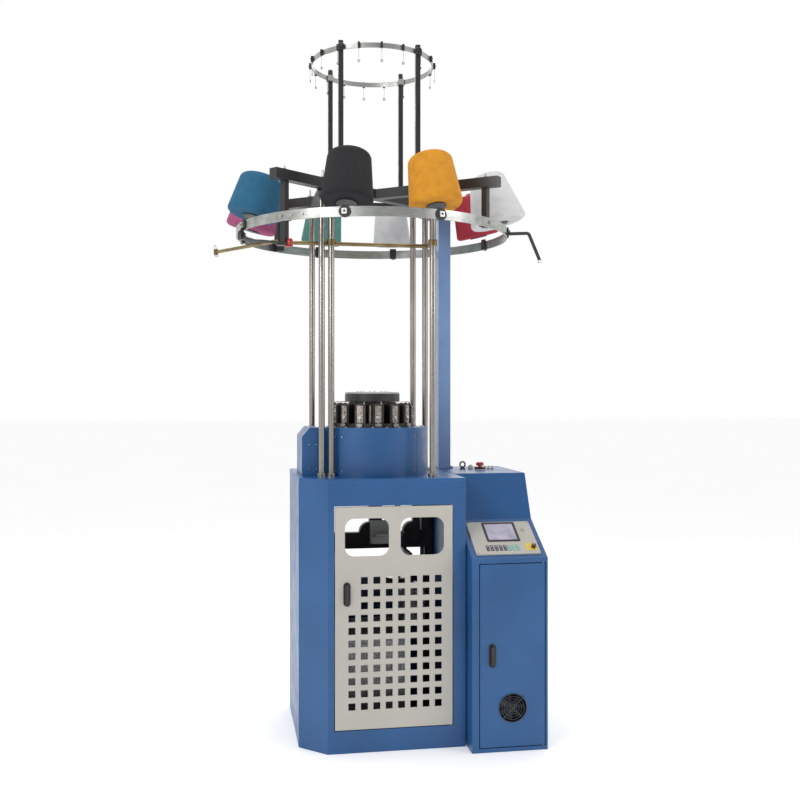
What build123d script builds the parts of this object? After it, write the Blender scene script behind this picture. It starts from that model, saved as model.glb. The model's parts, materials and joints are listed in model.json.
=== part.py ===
"""Small-diameter circular knitting machine with an overhead yarn creel.

Millimetres, +Z up. The origin is on the floor under the axis of the needle cylinder,
and the front of the machine faces -Y.
"""

import os
from math import atan2, ceil, cos, degrees, hypot, pi, radians, sin, sqrt

from build123d import *

os.makedirs("parts", exist_ok=True)

# Main cabinet
cabinet_half = 333  # half the width, and half the depth
cabinet_height = 1087
corner_cut = 107  # legs of the cut front left corner
cabinet_sheet = 3
base_plate_thickness = 8
top_plate_thickness = 12
upright_size = 40
rail_height = 40
rear_opening_half = 275
rear_opening_bottom = 60
rear_panel_top = 610
rear_panel_thickness = 2

# Front door, set flush in the cabinet front and turning on pins at its right edge
door_side_margins = (29, 54)  # from the cut corner, and from the right-hand side
door_bottom, door_top_margin = 93, 110
door_gap = 3.5
door_depth = 18
door_sheet = 2
jamb_depth = 20
pivot_inset = 6
pivot_radius = 3
pivot_length = 12
window_width, window_height, window_corner = 177, 150, 38
window_places = (127.5, 352)  # centres, from the door's left edge
window_drop = 121  # centres, from the door's top edge
hole_size, hole_pitch, hole_columns = 28, 50, 8
hole_inset, hole_bottom, hole_window_gap = 67, 184, 60
hole_rows_short = 3  # rows left out of the first column, under the lock

# Quarter-turn lever locks
lever_width, lever_length, lever_thickness = 16, 78, 9
lever_stand_off = 7
spindle_radius = 7
front_lock_inset, front_lock_drop = 47, 315
control_lock_inset, control_lock_z = 50, 416

# Control box on the right
control_gap = 6
control_width = 312
control_front = -420
lip_drop, console_back_drop = 317, 187  # below the top of the box
console_depth, shoulder_depth = 225, 317
control_sheet = 2.5
control_door_margins = (32, 12)  # left, right
control_door_bottom, control_door_lip = 20, 22
fan_z = 174
fan_bore, fan_frame_size, fan_frame_depth = 56, 120, 25
fan_hub_radius, fan_blades = 20, 7

# Console
panel_side_margin, panel_thickness = 22, 6
panel_start, panel_end_margin = 22, 26.9  # up the slope from the lip, and below its top
screen_width, screen_length, screen_depth = 131, 118, 3
screen_offset, screen_start = -1.5, 105
key_width, key_length, key_pitch, key_count = 12, 34, 18, 8
key_first_x, key_middle, key_travel, key_rise = -79, 60, 1.5, 1.5
knob_inset, knob_radius, knob_height = 23, 9, 14

# Emergency stop on the shoulder of the control box
stop_inset, stop_y = 162, 88
stop_base_radius, stop_base_height = 24, 14
stop_cap_radius, stop_cap_height, stop_travel = 17, 16, 5.5
stop_stem_radius = 8

# Knitting head
drum_radius, drum_height, drum_sheet = 233, 200, 3
drum_seam = 2
bed_thickness = 8
cam_gap, cam_plate_width, cam_plate_height = 10, 58, 16
cam_box_count, cam_box_width, cam_box_depth, cam_box_height = 14, 46, 46, 81
cylinder_radius, cylinder_wall, cylinder_rise = 104, 20, 291
journal_step, journal_drop = 9, 7
needle_count, needle_depth, needle_thickness, needle_length = 72, 3.3, 1.2, 210
needle_rise = 12
dial_overhang, dial_height, dial_seat, dial_bore = 14, 34, 16, 30
running_clearance = 0.05

# Drive
tooth_module = 5
pinion_teeth = 16
gear_rim, gear_width = 10, 25
gear_lift = 13  # gear's lower face above the top plate
shaft_radius = 12.5
shaft_angle = 36.87  # from +X
shaft_drop = 502  # lower end, below the top plate
shaft_pulley_radius, motor_pulley_radius, pulley_width = 50, 25, 30
flange_width, flange_lip = 2.5, 4
belt_thickness, belt_clearance = 3, 0.4
motor_x, motor_y, motor_size, motor_length = 215, 225, 110, 170
motor_shaft_radius, motor_gap = 9.5, 30
shelf_thickness = 10

# Take-down
beam_gap, beam_width = 15, 40  # from the needle cylinder's journal, and front to back
beam_left, beam_right = -300, 280
beam_drop, beam_depth = 272, 70
casting_flare = 45
cheek_gap, cheek_thickness = 9, 15  # least room between the drive shaft and a cheek
roller_radius, roller_nip, roller_drop = 30, 0.6, 55
roller_journal = 8
bin_left, bin_right, bin_front, bin_back = -190, 130, -170, 150
bin_gap, bin_sheet = 155, 2  # below the drive shaft

# Covers and column on top
side_box_inset, side_box_gap = 21, 5  # from the cabinet's side, and from the drum
side_box_front, side_box_back = -120, 170
side_box_bevel = (32, 38)  # across, down
column_width, column_depth, column_wall, column_rise = 56, 60, 3, 10
column_left = 341
flange_margin, flange_thickness = 10, 8

# Pillars: centres in plan
pillar_radius, pillar_foot_radius, pillar_foot_height = 13, 19, 14
pillar_centres = ((-234, -163), (-195, -167), (218, -232), (252, 100), (215, 195), (-243, 195))

# Creel
beam_size = 40
beam_underside = 2250
cross_y = -80  # where the two diagonal beams cross, on the centre line
beam_angle = 38.2  # of the diagonal beams from the X axis
beam_overhang, column_gap = 43, 5.92  # beyond the ring, and short of the column at the rear
rear_arm_angle = 137  # of the rear arms, from the front towards either side
rear_arm_start = 290
tie_thickness, tie_front_overhang = 10, 43
creel_radius, creel_band, creel_ring_height, ring_drop = 577, 6, 38, 160
splice_gap = 1
drop_post_size, long_post_drop = 24, 82
top_post_size, top_post_x = 20, 160
top_ring_band, top_ring_height, top_ring_rise = 5, 20, 542
fork_height = 38
eyelet_count, eyelet_drop, eyelet_wire, eyelet_radius = 18, 62, 1.5, 7

# Yarn packages: angle round the creel from the front towards the left, length,
# radius at the base and radius at the tip
cone_lean = 15
cone_inset, cone_seat_rise = 32, 19
yarn_packages = (
    (18.5, 206, 103, 84),
    (71.5, 168, 108, 86),
    (108.5, 176, 112, 88),
    (161.5, 190, 98, 78),
    (198.5, 190, 92, 72),
    (251.5, 190, 100, 80),
    (288.5, 214, 122, 70),
    (341.5, 204, 106, 86),
)
cone_base_fillet, cone_tip_fillet = 16, 26
core_bore = 17
peg_radius, peg_length, peg_disc_radius, peg_disc_thickness = 6, 150, 39, 4
peg_gap = 0.6
peg_tab_width, peg_tab_thickness = 30, 5

# Guide rail and yarn guide arms
rail_y, rail_drop, rail_radius = -136, 40, 8
rail_left = -400
collar_radius, collar_height = 19, 24
arm_radius = 7
left_arm_overhang, left_arm_y, left_arm_drop = 86, -21, 70
right_arm_angle, right_arm_bend = -68, 14  # from the front towards the right; inner radius of its bend
right_arm_bends = ((3, 8), (91.5, 8), (137, -105))  # beyond the ring, and above its lower edge

# Planes and places worked out from the sizes above
plate_bottom = cabinet_height - top_plate_thickness
door_left = -cabinet_half + corner_cut + door_side_margins[0]
door_right = cabinet_half - door_side_margins[1]
door_top = cabinet_height - door_top_margin
window_middle = door_top - window_drop
window_foot = window_middle - window_height / 2
front_lock_x, front_lock_z = door_left + front_lock_inset, door_top - front_lock_drop
hole_rows = int((window_foot - hole_window_gap - hole_bottom) / hole_pitch) + 1
control_height = cabinet_height
control_left = cabinet_half + control_gap
control_right = control_left + control_width
lip_height = control_height - lip_drop
console_back_height = control_height - console_back_drop
slope = atan2(console_back_height - lip_height, console_depth)
panel_width = control_width - 2 * panel_side_margin
panel_length = hypot(console_back_height - lip_height, console_depth) - panel_start - panel_end_margin
knob_x = panel_width / 2 - knob_inset
stop_x = control_left + stop_inset
drum_top = cabinet_height + drum_height
cylinder_top = cabinet_height + cylinder_rise
cylinder_bore = cylinder_radius - cylinder_wall
journal_radius = cylinder_radius - journal_step
dial_radius = cylinder_radius + dial_overhang
cam_plate_inner = cylinder_radius + cam_gap
cam_plate_outer = cam_plate_inner + cam_plate_width
tooth_depth = 1.15 * tooth_module
gear_teeth = ceil(2 * (cylinder_radius + gear_rim + tooth_depth) / tooth_module)
gear_radius = tooth_module * gear_teeth / 2
pinion_radius = tooth_module * pinion_teeth / 2
shaft_x = (gear_radius + pinion_radius) * cos(radians(shaft_angle))
shaft_y = (gear_radius + pinion_radius) * sin(radians(shaft_angle))
shaft_bottom = cabinet_height - shaft_drop
pulley_bottom = shaft_bottom + 5
motor_top = pulley_bottom - motor_gap
motor_bottom = motor_top - motor_length
shelf_height = motor_bottom - shelf_thickness
gear_bottom = cabinet_height + gear_lift
beam_top = cabinet_height - beam_drop
beam_bottom = beam_top - beam_depth
roller_height = beam_bottom - roller_drop
beam_front = journal_radius + beam_gap
beam_back = beam_front + beam_width
cheek_inside = ceil(shaft_x + shaft_radius + cheek_gap)
bin_height = shaft_bottom - bin_gap
side_box_left = side_box_inset - cabinet_half
side_box_right = -drum_radius - side_box_gap
creel_ring_bottom = beam_underside - ring_drop
creel_inner = creel_radius - creel_band / 2
creel_outer = creel_radius + creel_band / 2
beam_reach = creel_radius + beam_overhang
beam_top_z = beam_underside + beam_size
column_top = beam_top_z + column_rise
cone_seat_radius = creel_radius - cone_inset
cone_seat_height = creel_ring_bottom + creel_ring_height + cone_seat_rise
top_ring_bottom = beam_top_z + top_ring_rise
top_post_y = -(cross_y - top_post_x * sin(radians(beam_angle)) / cos(radians(beam_angle)))
top_ring_radius = hypot(top_post_x, top_post_y)
console = Plane(
    origin=((control_left + control_right) / 2, control_front, lip_height),
    x_dir=(1, 0, 0),
    z_dir=(0, -sin(slope), cos(slope)),
)


def save(piece, name):
    """Label a finished piece and write it to its own STEP file."""
    piece.part.label = name
    export_step(piece.part, f"parts/{name}.step")


def block(x, y, z, mode=Mode.ADD):
    """A box between the low and high values of x, y and z."""
    with Locations((sum(x) / 2, sum(y) / 2, sum(z) / 2)):
        Box(x[1] - x[0], y[1] - y[0], z[1] - z[0], mode=mode)


def bar(x, y, radius, z, mode=Mode.ADD):
    """A vertical cylinder at x, y between the low and high values of z."""
    with Locations((x, y, sum(z) / 2)):
        Cylinder(radius, z[1] - z[0], mode=mode)


def rod(start, end, radius, mode=Mode.ADD):
    """A round rod from one point to another, with a ball at its far end."""
    direction = Vector(*end) - Vector(*start)
    place = Plane(origin=start, z_dir=direction)
    with Locations(place):
        Cylinder(radius, direction.length, align=(Align.CENTER, Align.CENTER, Align.MIN), mode=mode)
    with Locations(end):
        Sphere(radius, mode=mode)


def plan(inset):
    """Corner points of the cabinet plan moved inwards, with its front left corner cut."""
    half = cabinet_half - inset
    cut = corner_cut - inset * (2 - sqrt(2))
    return ((half, -half), (half, half), (-half, half), (-half, cut - half), (cut - half, -half))


def on_creel(angle, radius, height):
    """A point round the creel; the angle runs from the front towards the left."""
    return Vector(-radius * sin(radians(angle)), -radius * cos(radians(angle)), height)


def along_beam(side, reach):
    """Where a diagonal beam is at a given distance from the machine's axis.

    side is a pair of signs: (-1, -1) is the front left end and (1, -1) the front right one.
    """
    ux, uy = side[0] * cos(radians(beam_angle)), side[1] * sin(radians(beam_angle))
    half = uy * cross_y
    run = -half + sqrt(half * half - cross_y * cross_y + reach * reach)
    return Vector(run * ux, cross_y + run * uy, 0)


# ---------------------------------------------------------------- cabinet
# Welded frame: base plate, four uprights, top rail and the motor shelf.
front_left_x = door_left - door_gap - cabinet_sheet - upright_size - 1
upright_inset = cabinet_sheet + 2
front_left_y = max(
    -2 * cabinet_half + corner_cut + cabinet_sheet * sqrt(2) + 2 - front_left_x,
    -cabinet_half + upright_inset,
)
upright_far = cabinet_half - upright_inset
upright_near = upright_far - upright_size

with BuildPart() as cabinet_frame:
    with BuildSketch():
        Polygon(*plan(cabinet_sheet), align=None)
    extrude(amount=base_plate_thickness)
    block(
        (front_left_x, front_left_x + upright_size),
        (front_left_y, front_left_y + upright_size),
        (base_plate_thickness, plate_bottom),
    )
    block((upright_near, upright_far), (-upright_far, -upright_near), (base_plate_thickness, plate_bottom))
    block((upright_near, upright_far), (upright_near, upright_far), (base_plate_thickness, plate_bottom))
    block((-upright_far, -upright_near), (upright_near, upright_far), (base_plate_thickness, plate_bottom))
    with BuildSketch(Plane.XY.offset(plate_bottom - rail_height)):
        Polygon(*plan(upright_inset), align=None)
        Polygon(*plan(upright_inset + upright_size), align=None, mode=Mode.SUBTRACT)
    extrude(amount=rail_height)
    block(
        (motor_x - motor_size / 2 - 8, upright_far),
        (motor_y - motor_size / 2 - 8, upright_far),
        (shelf_height, shelf_height + shelf_thickness),
    )
    block(
        (motor_x - motor_size / 2 - 8, motor_x - motor_size / 2 + 22),
        (motor_y - motor_size / 2 - 8, motor_y - motor_size / 2 + 22),
        (base_plate_thickness, shelf_height),
    )
save(cabinet_frame, "cabinet_frame")

# Sheet metal skin, open at the front for the door and at the back above the rear panel.
opening_x = (door_left - door_gap, door_right + door_gap)
opening_z = (door_bottom - door_gap, door_top + door_gap)
jamb_y = (-cabinet_half + cabinet_sheet / 2, -cabinet_half + jamb_depth)

with BuildPart() as cabinet_shell:
    with BuildSketch():
        Polygon(*plan(0), align=None)
        Polygon(*plan(cabinet_sheet), align=None, mode=Mode.SUBTRACT)
    extrude(amount=plate_bottom)
    block(
        (opening_x[0] - cabinet_sheet, opening_x[1] + cabinet_sheet),
        jamb_y,
        (opening_z[0] - cabinet_sheet, opening_z[1] + cabinet_sheet),
    )
    block(opening_x, (-cabinet_half - 1, jamb_y[1] + 1), opening_z, mode=Mode.SUBTRACT)
    for z_end in opening_z:
        bar(
            door_right - pivot_inset,
            -cabinet_half + pivot_inset,
            pivot_radius,
            (z_end - cabinet_sheet - 1, z_end + cabinet_sheet + 1),
            mode=Mode.SUBTRACT,
        )
    block(
        (-rear_opening_half, rear_opening_half),
        (cabinet_half - cabinet_sheet - 1, cabinet_half + 1),
        (rear_opening_bottom, plate_bottom - rail_height),
        mode=Mode.SUBTRACT,
    )
save(cabinet_shell, "cabinet_shell")

with BuildPart() as top_plate:
    with BuildSketch(Plane.XY.offset(plate_bottom)):
        Polygon(*plan(0), align=None)
        Circle(journal_radius + running_clearance, mode=Mode.SUBTRACT)
        with Locations((shaft_x, shaft_y)):
            Circle(shaft_radius + running_clearance, mode=Mode.SUBTRACT)
    extrude(amount=top_plate_thickness)
save(top_plate, "top_plate")

# Screwed-on rear panel with rows of cooling slots; above it the back stays open.
slot_rows, slot_length, slot_height, slot_pitch = 6, 150, 8, 24
slot_rise = 145  # middle row above the rear opening's foot
with BuildPart() as rear_panel:
    block(
        (-rear_opening_half - 15, rear_opening_half + 15),
        (cabinet_half, cabinet_half + rear_panel_thickness),
        (rear_opening_bottom - 15, rear_panel_top),
    )
    with BuildSketch(Plane.XZ.offset(-cabinet_half - rear_panel_thickness - 1)):
        with Locations((0, rear_opening_bottom + slot_rise)):
            with GridLocations(slot_length + 60, slot_pitch, 2, slot_rows):
                SlotOverall(slot_length, slot_height)
    extrude(amount=rear_panel_thickness + 2, mode=Mode.SUBTRACT)
save(rear_panel, "rear_panel")


def door_pan(x, z, front):
    """A folded sheet door: a flat front with returns on its four edges."""
    with BuildPart() as pan:
        block(x, (front, front + door_depth), z)
        block(
            (x[0] + door_sheet, x[1] - door_sheet),
            (front + door_sheet, front + door_depth + 1),
            (z[0] + door_sheet, z[1] - door_sheet),
            mode=Mode.SUBTRACT,
        )
        for z_end in z:
            bar(
                x[1] - pivot_inset,
                front + pivot_inset,
                pivot_radius + running_clearance,
                (z_end - door_sheet - 1, z_end + door_sheet + 1),
                mode=Mode.SUBTRACT,
            )
    return pan.part


# Front door with two viewing windows over a field of square air holes.
with BuildPart() as front_door:
    add(door_pan((door_left, door_right), (door_bottom, door_top), -cabinet_half))
    with BuildSketch(Plane.XZ.offset(cabinet_half + 1)):
        with Locations(*[(door_left + place, window_middle) for place in window_places]):
            RectangleRounded(window_width, window_height, window_corner)
        for column in range(hole_columns):
            hole_x = door_left + hole_inset + column * hole_pitch
            for row in range(hole_rows if column else hole_rows - hole_rows_short):
                with Locations((hole_x, hole_bottom + row * hole_pitch)):
                    Rectangle(hole_size, hole_size)
        with Locations((front_lock_x, front_lock_z)):
            Circle(spindle_radius + running_clearance)
    extrude(amount=-door_sheet - 2, mode=Mode.SUBTRACT)
save(front_door, "front_door")

# Pivot pins of both doors, pressed into the jambs.
control_door_top = lip_height - control_door_lip
control_opening_x = (
    control_left + control_door_margins[0] - door_gap,
    control_right - control_door_margins[1] + door_gap,
)
control_door_x = (control_opening_x[0] + door_gap, control_opening_x[1] - door_gap)
fan_x = sum(control_door_x) / 2
control_lock_x = control_door_x[0] + control_lock_inset
control_opening_z = (control_door_bottom - door_gap, control_door_top + door_gap)

with BuildPart() as door_hinges:
    for edge_x, face_y, ends in (
        (door_right, -cabinet_half, opening_z),
        (control_door_x[1], control_front, control_opening_z),
    ):
        for z_end, way in zip(ends, (1, -1)):
            root_end = z_end - way * cabinet_sheet
            tip_end = z_end + way * pivot_length
            bar(
                edge_x - pivot_inset,
                face_y + pivot_inset,
                pivot_radius,
                (min(root_end, tip_end), max(root_end, tip_end)),
            )
save(door_hinges, "door_hinges")


def lock_lever(x, z, front):
    """A lever that hangs from its spindle, with a cam tongue behind the door sheet."""
    with BuildPart() as lever:
        with BuildSketch(Plane.XZ.offset(-front + lever_stand_off)):
            with Locations((x, z - lever_length / 2 + lever_width / 2)):
                SlotOverall(lever_length, lever_width, rotation=90)
        extrude(amount=lever_thickness)
        fillet(lever.faces().sort_by(Axis.Y)[0].edges(), 2.5)
        with BuildSketch(Plane.XZ.offset(-front + lever_stand_off)):
            with Locations((x, z)):
                Circle(spindle_radius)
        extrude(amount=-lever_stand_off - door_sheet - 8)
        block(
            (x - 6, x + 6),
            (front + door_sheet + 3, front + door_sheet + 7),
            (z - spindle_radius - 18, z + spindle_radius),
        )
    return lever


save(lock_lever(front_lock_x, front_lock_z, -cabinet_half), "front_lock_lever")
save(lock_lever(control_lock_x, control_lock_z, control_front), "control_lock_lever")

# ---------------------------------------------------------------- control box
profile = (
    (control_front, 0),
    (control_front, lip_height),
    (control_front + console_depth, console_back_height),
    (control_front + shoulder_depth, control_height),
    (cabinet_half, control_height),
    (cabinet_half, 0),
)
with BuildPart() as control_box_shell:
    with BuildSketch(Plane.YZ.offset(control_left)):
        Polygon(*profile, align=None)
    extrude(amount=control_width)
    with BuildSketch(Plane.YZ.offset(control_left + control_sheet)):
        Polygon(*profile, align=None)
        offset(amount=-control_sheet, kind=Kind.INTERSECTION, mode=Mode.REPLACE)
    extrude(amount=control_width - 2 * control_sheet, mode=Mode.SUBTRACT)
    face_y = (control_front - 1, control_front + control_sheet + 1)
    block(control_opening_x, face_y, control_opening_z, mode=Mode.SUBTRACT)
    for z_end, way in zip(control_opening_z, (-1, 1)):
        lug = sorted((z_end, z_end + way * cabinet_sheet))
        pin_x = control_door_x[1] - pivot_inset
        lug_y = (control_front + control_sheet / 2, control_front + jamb_depth)
        block((pin_x - 12, control_opening_x[1]), lug_y, lug)
        bar(pin_x, control_front + pivot_inset, pivot_radius, (lug[0] - 1, lug[1] + 1), mode=Mode.SUBTRACT)
    for back, front_side in ((250, 320), (-320, -250)):
        block((cabinet_half, control_left), (back, front_side), (40, control_height - 47))
    with Locations((stop_x, stop_y, control_height)):
        Cylinder(stop_stem_radius + 4, 4 * control_sheet, mode=Mode.SUBTRACT)
save(control_box_shell, "control_box_shell")

# Narrow service door carrying the cooling fan.
with BuildPart() as control_door:
    add(door_pan(control_door_x, (control_door_bottom, control_door_top), control_front))
    with BuildSketch(Plane.XZ.offset(-control_front + 1)):
        with Locations((fan_x, fan_z)):
            Circle(fan_bore)
        with Locations((control_lock_x, control_lock_z)):
            Circle(spindle_radius + running_clearance)
    extrude(amount=-door_sheet - 2, mode=Mode.SUBTRACT)
save(control_door, "control_door")

fan_front = control_front + door_sheet
fan_back = fan_front + fan_frame_depth
with BuildPart() as fan_frame:
    with BuildSketch(Plane.XZ.offset(-fan_front)):
        with Locations((fan_x, fan_z)):
            RectangleRounded(fan_frame_size, fan_frame_size, 8)
            Circle(fan_bore, mode=Mode.SUBTRACT)
    extrude(amount=-fan_frame_depth)
    with BuildSketch(Plane.XZ.offset(-fan_back)):
        with Locations((fan_x, fan_z)):
            Circle(fan_hub_radius)
            for turn in range(3):
                Rectangle(2 * fan_bore + 4, 7, rotation=60 * turn)
            Circle(2.5 + running_clearance, mode=Mode.SUBTRACT)
    extrude(amount=4)
save(fan_frame, "fan_frame")

# Impeller: a hub with pitched blades and a stub shaft in the frame's hub.
blade_tip, blade_root, blade_chord = fan_bore - 3, fan_hub_radius - 2, 20
with BuildPart() as fan_impeller:
    with Locations(Location((fan_x, fan_front + 3, fan_z), (-90, 0, 0))):
        Cylinder(fan_hub_radius, 16, align=(Align.CENTER, Align.CENTER, Align.MIN))
        Cylinder(2.5, fan_frame_depth - 3, align=(Align.CENTER, Align.CENTER, Align.MIN))
    for blade in range(fan_blades):
        turn = 360 * blade / fan_blades
        place = (
            Location((fan_x, fan_front + 11, fan_z))
            * Location((0, 0, 0), (0, turn, 0))
            * Location(((blade_root + blade_tip) / 2, 0, 0), (32, 0, 0))
        )
        with Locations(place):
            Box(blade_tip - blade_root, 2, blade_chord)
    with BuildSketch(Plane.XZ.offset(-fan_front - 1)):
        with Locations((fan_x, fan_z)):
            Circle(fan_bore + 10)
            Circle(blade_tip, mode=Mode.SUBTRACT)
    extrude(amount=-fan_frame_depth, mode=Mode.SUBTRACT)
save(fan_impeller, "fan_impeller")

# Finger guard of rings and a cross, screwed over the hole in the door.
guard_wire = 4
with BuildPart() as fan_guard:
    with BuildSketch(Plane.XZ.offset(-control_front)):
        with Locations((fan_x, fan_z)):
            for ring_radius in (fan_bore + 2, fan_bore * 0.7, fan_bore * 0.4):
                Circle(ring_radius)
                Circle(ring_radius - guard_wire, mode=Mode.SUBTRACT)
            for turn in (45, 135):
                Rectangle(2 * fan_bore + 14, guard_wire, rotation=turn)
    extrude(amount=guard_wire)
save(fan_guard, "fan_guard")

# Back plate with the drive, supply, relays and terminals.
plate_y, plate_margin, unit_gap = 250, 38, 16
inside_x = (control_left + control_sheet, control_right - control_sheet)
unit_left, unit_right = inside_x[0] + plate_margin, inside_x[1] - plate_margin
unit_middle = sum(inside_x) / 2
plate_top = control_height - 307
with BuildPart() as electrical_panel:
    block(inside_x, (plate_y, plate_y + 3), (80, plate_top))
    for left, right, depth, drop, height in (
        (unit_left, unit_middle - unit_gap / 2, 120, 40, 270),
        (unit_middle + unit_gap / 2, unit_right, 80, 40, 180),
        (unit_left, unit_right, 60, 360, 60),
        (unit_left, unit_middle - unit_gap / 2, 70, 470, 110),
        (unit_middle + unit_gap / 2, unit_right, 70, 470, 110),
    ):
        block((left, right), (plate_y - depth, plate_y), (plate_top - drop - height, plate_top - drop))
save(electrical_panel, "electrical_panel")

# ---------------------------------------------------------------- console
def key_x(index):
    return key_first_x + index * key_pitch


screen_middle = screen_start + screen_length / 2
with BuildPart() as console_panel:
    with BuildSketch(console):
        with Locations((0, panel_start + panel_length / 2)):
            RectangleRounded(panel_width, panel_length, 6)
    extrude(amount=panel_thickness)
    with BuildSketch(console.offset(panel_thickness)):
        with Locations((screen_offset, screen_middle)):
            Rectangle(screen_width, screen_length)
    extrude(amount=-screen_depth, mode=Mode.SUBTRACT)
    with BuildSketch(console.offset(panel_thickness)):
        for index in range(key_count):
            with Locations((key_x(index), key_middle)):
                RectangleRounded(key_width + 0.8, key_length + 0.8, 1.9)
        with Locations((knob_x, key_middle)):
            Circle(3 + running_clearance)
    extrude(amount=-panel_thickness + 1, mode=Mode.SUBTRACT)
save(console_panel, "console_panel")

with BuildPart() as display_screen:
    with BuildSketch(console.offset(panel_thickness - screen_depth)):
        with Locations((screen_offset, screen_middle)):
            Rectangle(screen_width - 0.4, screen_length - 0.4)
    extrude(amount=screen_depth + 1)
save(display_screen, "display_screen")

key_height = panel_thickness + key_rise - (1 + key_travel + 0.5)
for index in range(key_count):
    with BuildPart() as console_key:
        with BuildSketch(console.offset(panel_thickness + key_rise)):
            with Locations((key_x(index), key_middle)):
                RectangleRounded(key_width, key_length, 1.5)
        extrude(amount=-key_height)
    save(console_key, f"console_key_{index + 1}")

with BuildPart() as selector_knob:
    with BuildSketch(console.offset(panel_thickness + 0.5)):
        with Locations((knob_x, key_middle)):
            Circle(knob_radius)
    extrude(amount=knob_height)
    with BuildSketch(console.offset(panel_thickness + 0.5)):
        with Locations((knob_x, key_middle)):
            Circle(3)
    extrude(amount=-4)
save(selector_knob, "selector_knob")

with BuildPart() as emergency_stop_base:
    bar(stop_x, stop_y, stop_base_radius, (control_height, control_height + stop_base_height))
    bar(stop_x, stop_y, stop_stem_radius + 3, (control_height - 12, control_height))
    bar(
        stop_x,
        stop_y,
        stop_stem_radius + running_clearance,
        (control_height - 10, control_height + stop_base_height + 1),
        mode=Mode.SUBTRACT,
    )
save(emergency_stop_base, "emergency_stop_base")

cap_bottom = control_height + stop_base_height + stop_travel + 0.5
with BuildPart() as emergency_stop_button:
    bar(stop_x, stop_y, stop_stem_radius, (control_height, cap_bottom))
    bar(stop_x, stop_y, stop_cap_radius, (cap_bottom, cap_bottom + stop_cap_height))
    fillet(emergency_stop_button.edges().group_by(Axis.Z)[-1], 6)
save(emergency_stop_button, "emergency_stop_button")

# ---------------------------------------------------------------- knitting head
# Drum round the head: four curved panels with seams on the diagonals.
drum_panel_top = drum_top - bed_thickness
with BuildPart() as drum_cover:
    with BuildSketch(Plane.XY.offset(cabinet_height)):
        Circle(drum_radius)
        Circle(drum_radius - drum_sheet, mode=Mode.SUBTRACT)
        Rectangle(2 * drum_radius + 10, drum_seam, rotation=45, mode=Mode.SUBTRACT)
        Rectangle(2 * drum_radius + 10, drum_seam, rotation=135, mode=Mode.SUBTRACT)
    extrude(amount=drum_panel_top - cabinet_height)
save(drum_cover, "drum_cover")

# Bed: the round plate that closes the drum, with the raised cam plate on it.
with BuildPart() as cam_bed:
    with BuildSketch(Plane.XY.offset(drum_panel_top)):
        Circle(drum_radius)
        Circle(cam_plate_inner, mode=Mode.SUBTRACT)
    extrude(amount=bed_thickness)
    with BuildSketch(Plane.XY.offset(drum_top)):
        Circle(cam_plate_outer)
        Circle(cam_plate_inner, mode=Mode.SUBTRACT)
    extrude(amount=cam_plate_height)
save(cam_bed, "cam_bed")

# Cam boxes bolted round the cylinder.
cam_box_bottom = drum_top + cam_plate_height
with BuildPart() as cam_boxes:
    with BuildSketch(Plane.XY.offset(cam_box_bottom)):
        with PolarLocations(cam_plate_outer - 3 - cam_box_depth / 2, cam_box_count, start_angle=-90):
            Rectangle(cam_box_depth, cam_box_width)
    extrude(amount=cam_box_height)
    chamfer(cam_boxes.edges().group_by(Axis.Z)[-1], 2)
save(cam_boxes, "cam_boxes")

with BuildPart() as needle_cylinder:
    bar(0, 0, cylinder_radius, (gear_bottom, cylinder_top))
    bar(0, 0, journal_radius, (plate_bottom - journal_drop, gear_bottom))
    bar(0, 0, cylinder_bore, (plate_bottom - journal_drop - 1, cylinder_top + 1), mode=Mode.SUBTRACT)
save(needle_cylinder, "needle_cylinder")

with BuildPart() as needles:
    needle_top = cylinder_top + needle_rise
    with BuildSketch(Plane.XY.offset(needle_top - needle_length)):
        with PolarLocations(cylinder_radius + 0.2 + needle_depth / 2, needle_count):
            Rectangle(needle_depth, needle_thickness)
    extrude(amount=needle_length)
save(needles, "needles")

# Dial: a round cap on a narrow seat that leaves the needle hooks free.
with BuildPart() as dial:
    dial_bottom = cylinder_top + dial_seat
    bar(0, 0, cylinder_radius - 4, (cylinder_top, dial_bottom))
    bar(0, 0, dial_radius, (dial_bottom, dial_bottom + dial_height))
    fillet(dial.edges().group_by(Axis.Z)[-1], 3)
    bar(0, 0, cylinder_bore, (cylinder_top - 1, dial_bottom), mode=Mode.SUBTRACT)
    bar(0, 0, dial_bore, (cylinder_top - 1, dial_bottom + dial_height + 1), mode=Mode.SUBTRACT)
save(dial, "dial")


def gear_blank(teeth, turn):
    """Sketch points of a gear with slim straight-sided teeth, turned by an angle."""
    pitch = tooth_module * teeth / 2
    points = []
    for tooth in range(teeth):
        middle = turn + 2 * pi * tooth / teeth
        for radius, half in (
            (pitch - tooth_depth, 0.72 * tooth_module),
            (pitch + 0.75 * tooth_module, 0.3 * tooth_module),
        ):
            points.append((radius, middle - half / radius))
        for radius, half in (
            (pitch + 0.75 * tooth_module, 0.3 * tooth_module),
            (pitch - tooth_depth, 0.72 * tooth_module),
        ):
            points.append((radius, middle + half / radius))
    return [(radius * cos(angle), radius * sin(angle)) for radius, angle in points]


# The cylinder gear has a tooth, and the pinion a gap, on the line between their centres.
line_of_centres = radians(shaft_angle)
with BuildPart() as cylinder_gear:
    with BuildSketch(Plane.XY.offset(gear_bottom)):
        Polygon(*gear_blank(gear_teeth, line_of_centres), align=None)
        Circle(cylinder_radius + 0.05, mode=Mode.SUBTRACT)
    extrude(amount=gear_width)
save(cylinder_gear, "cylinder_gear")

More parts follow.
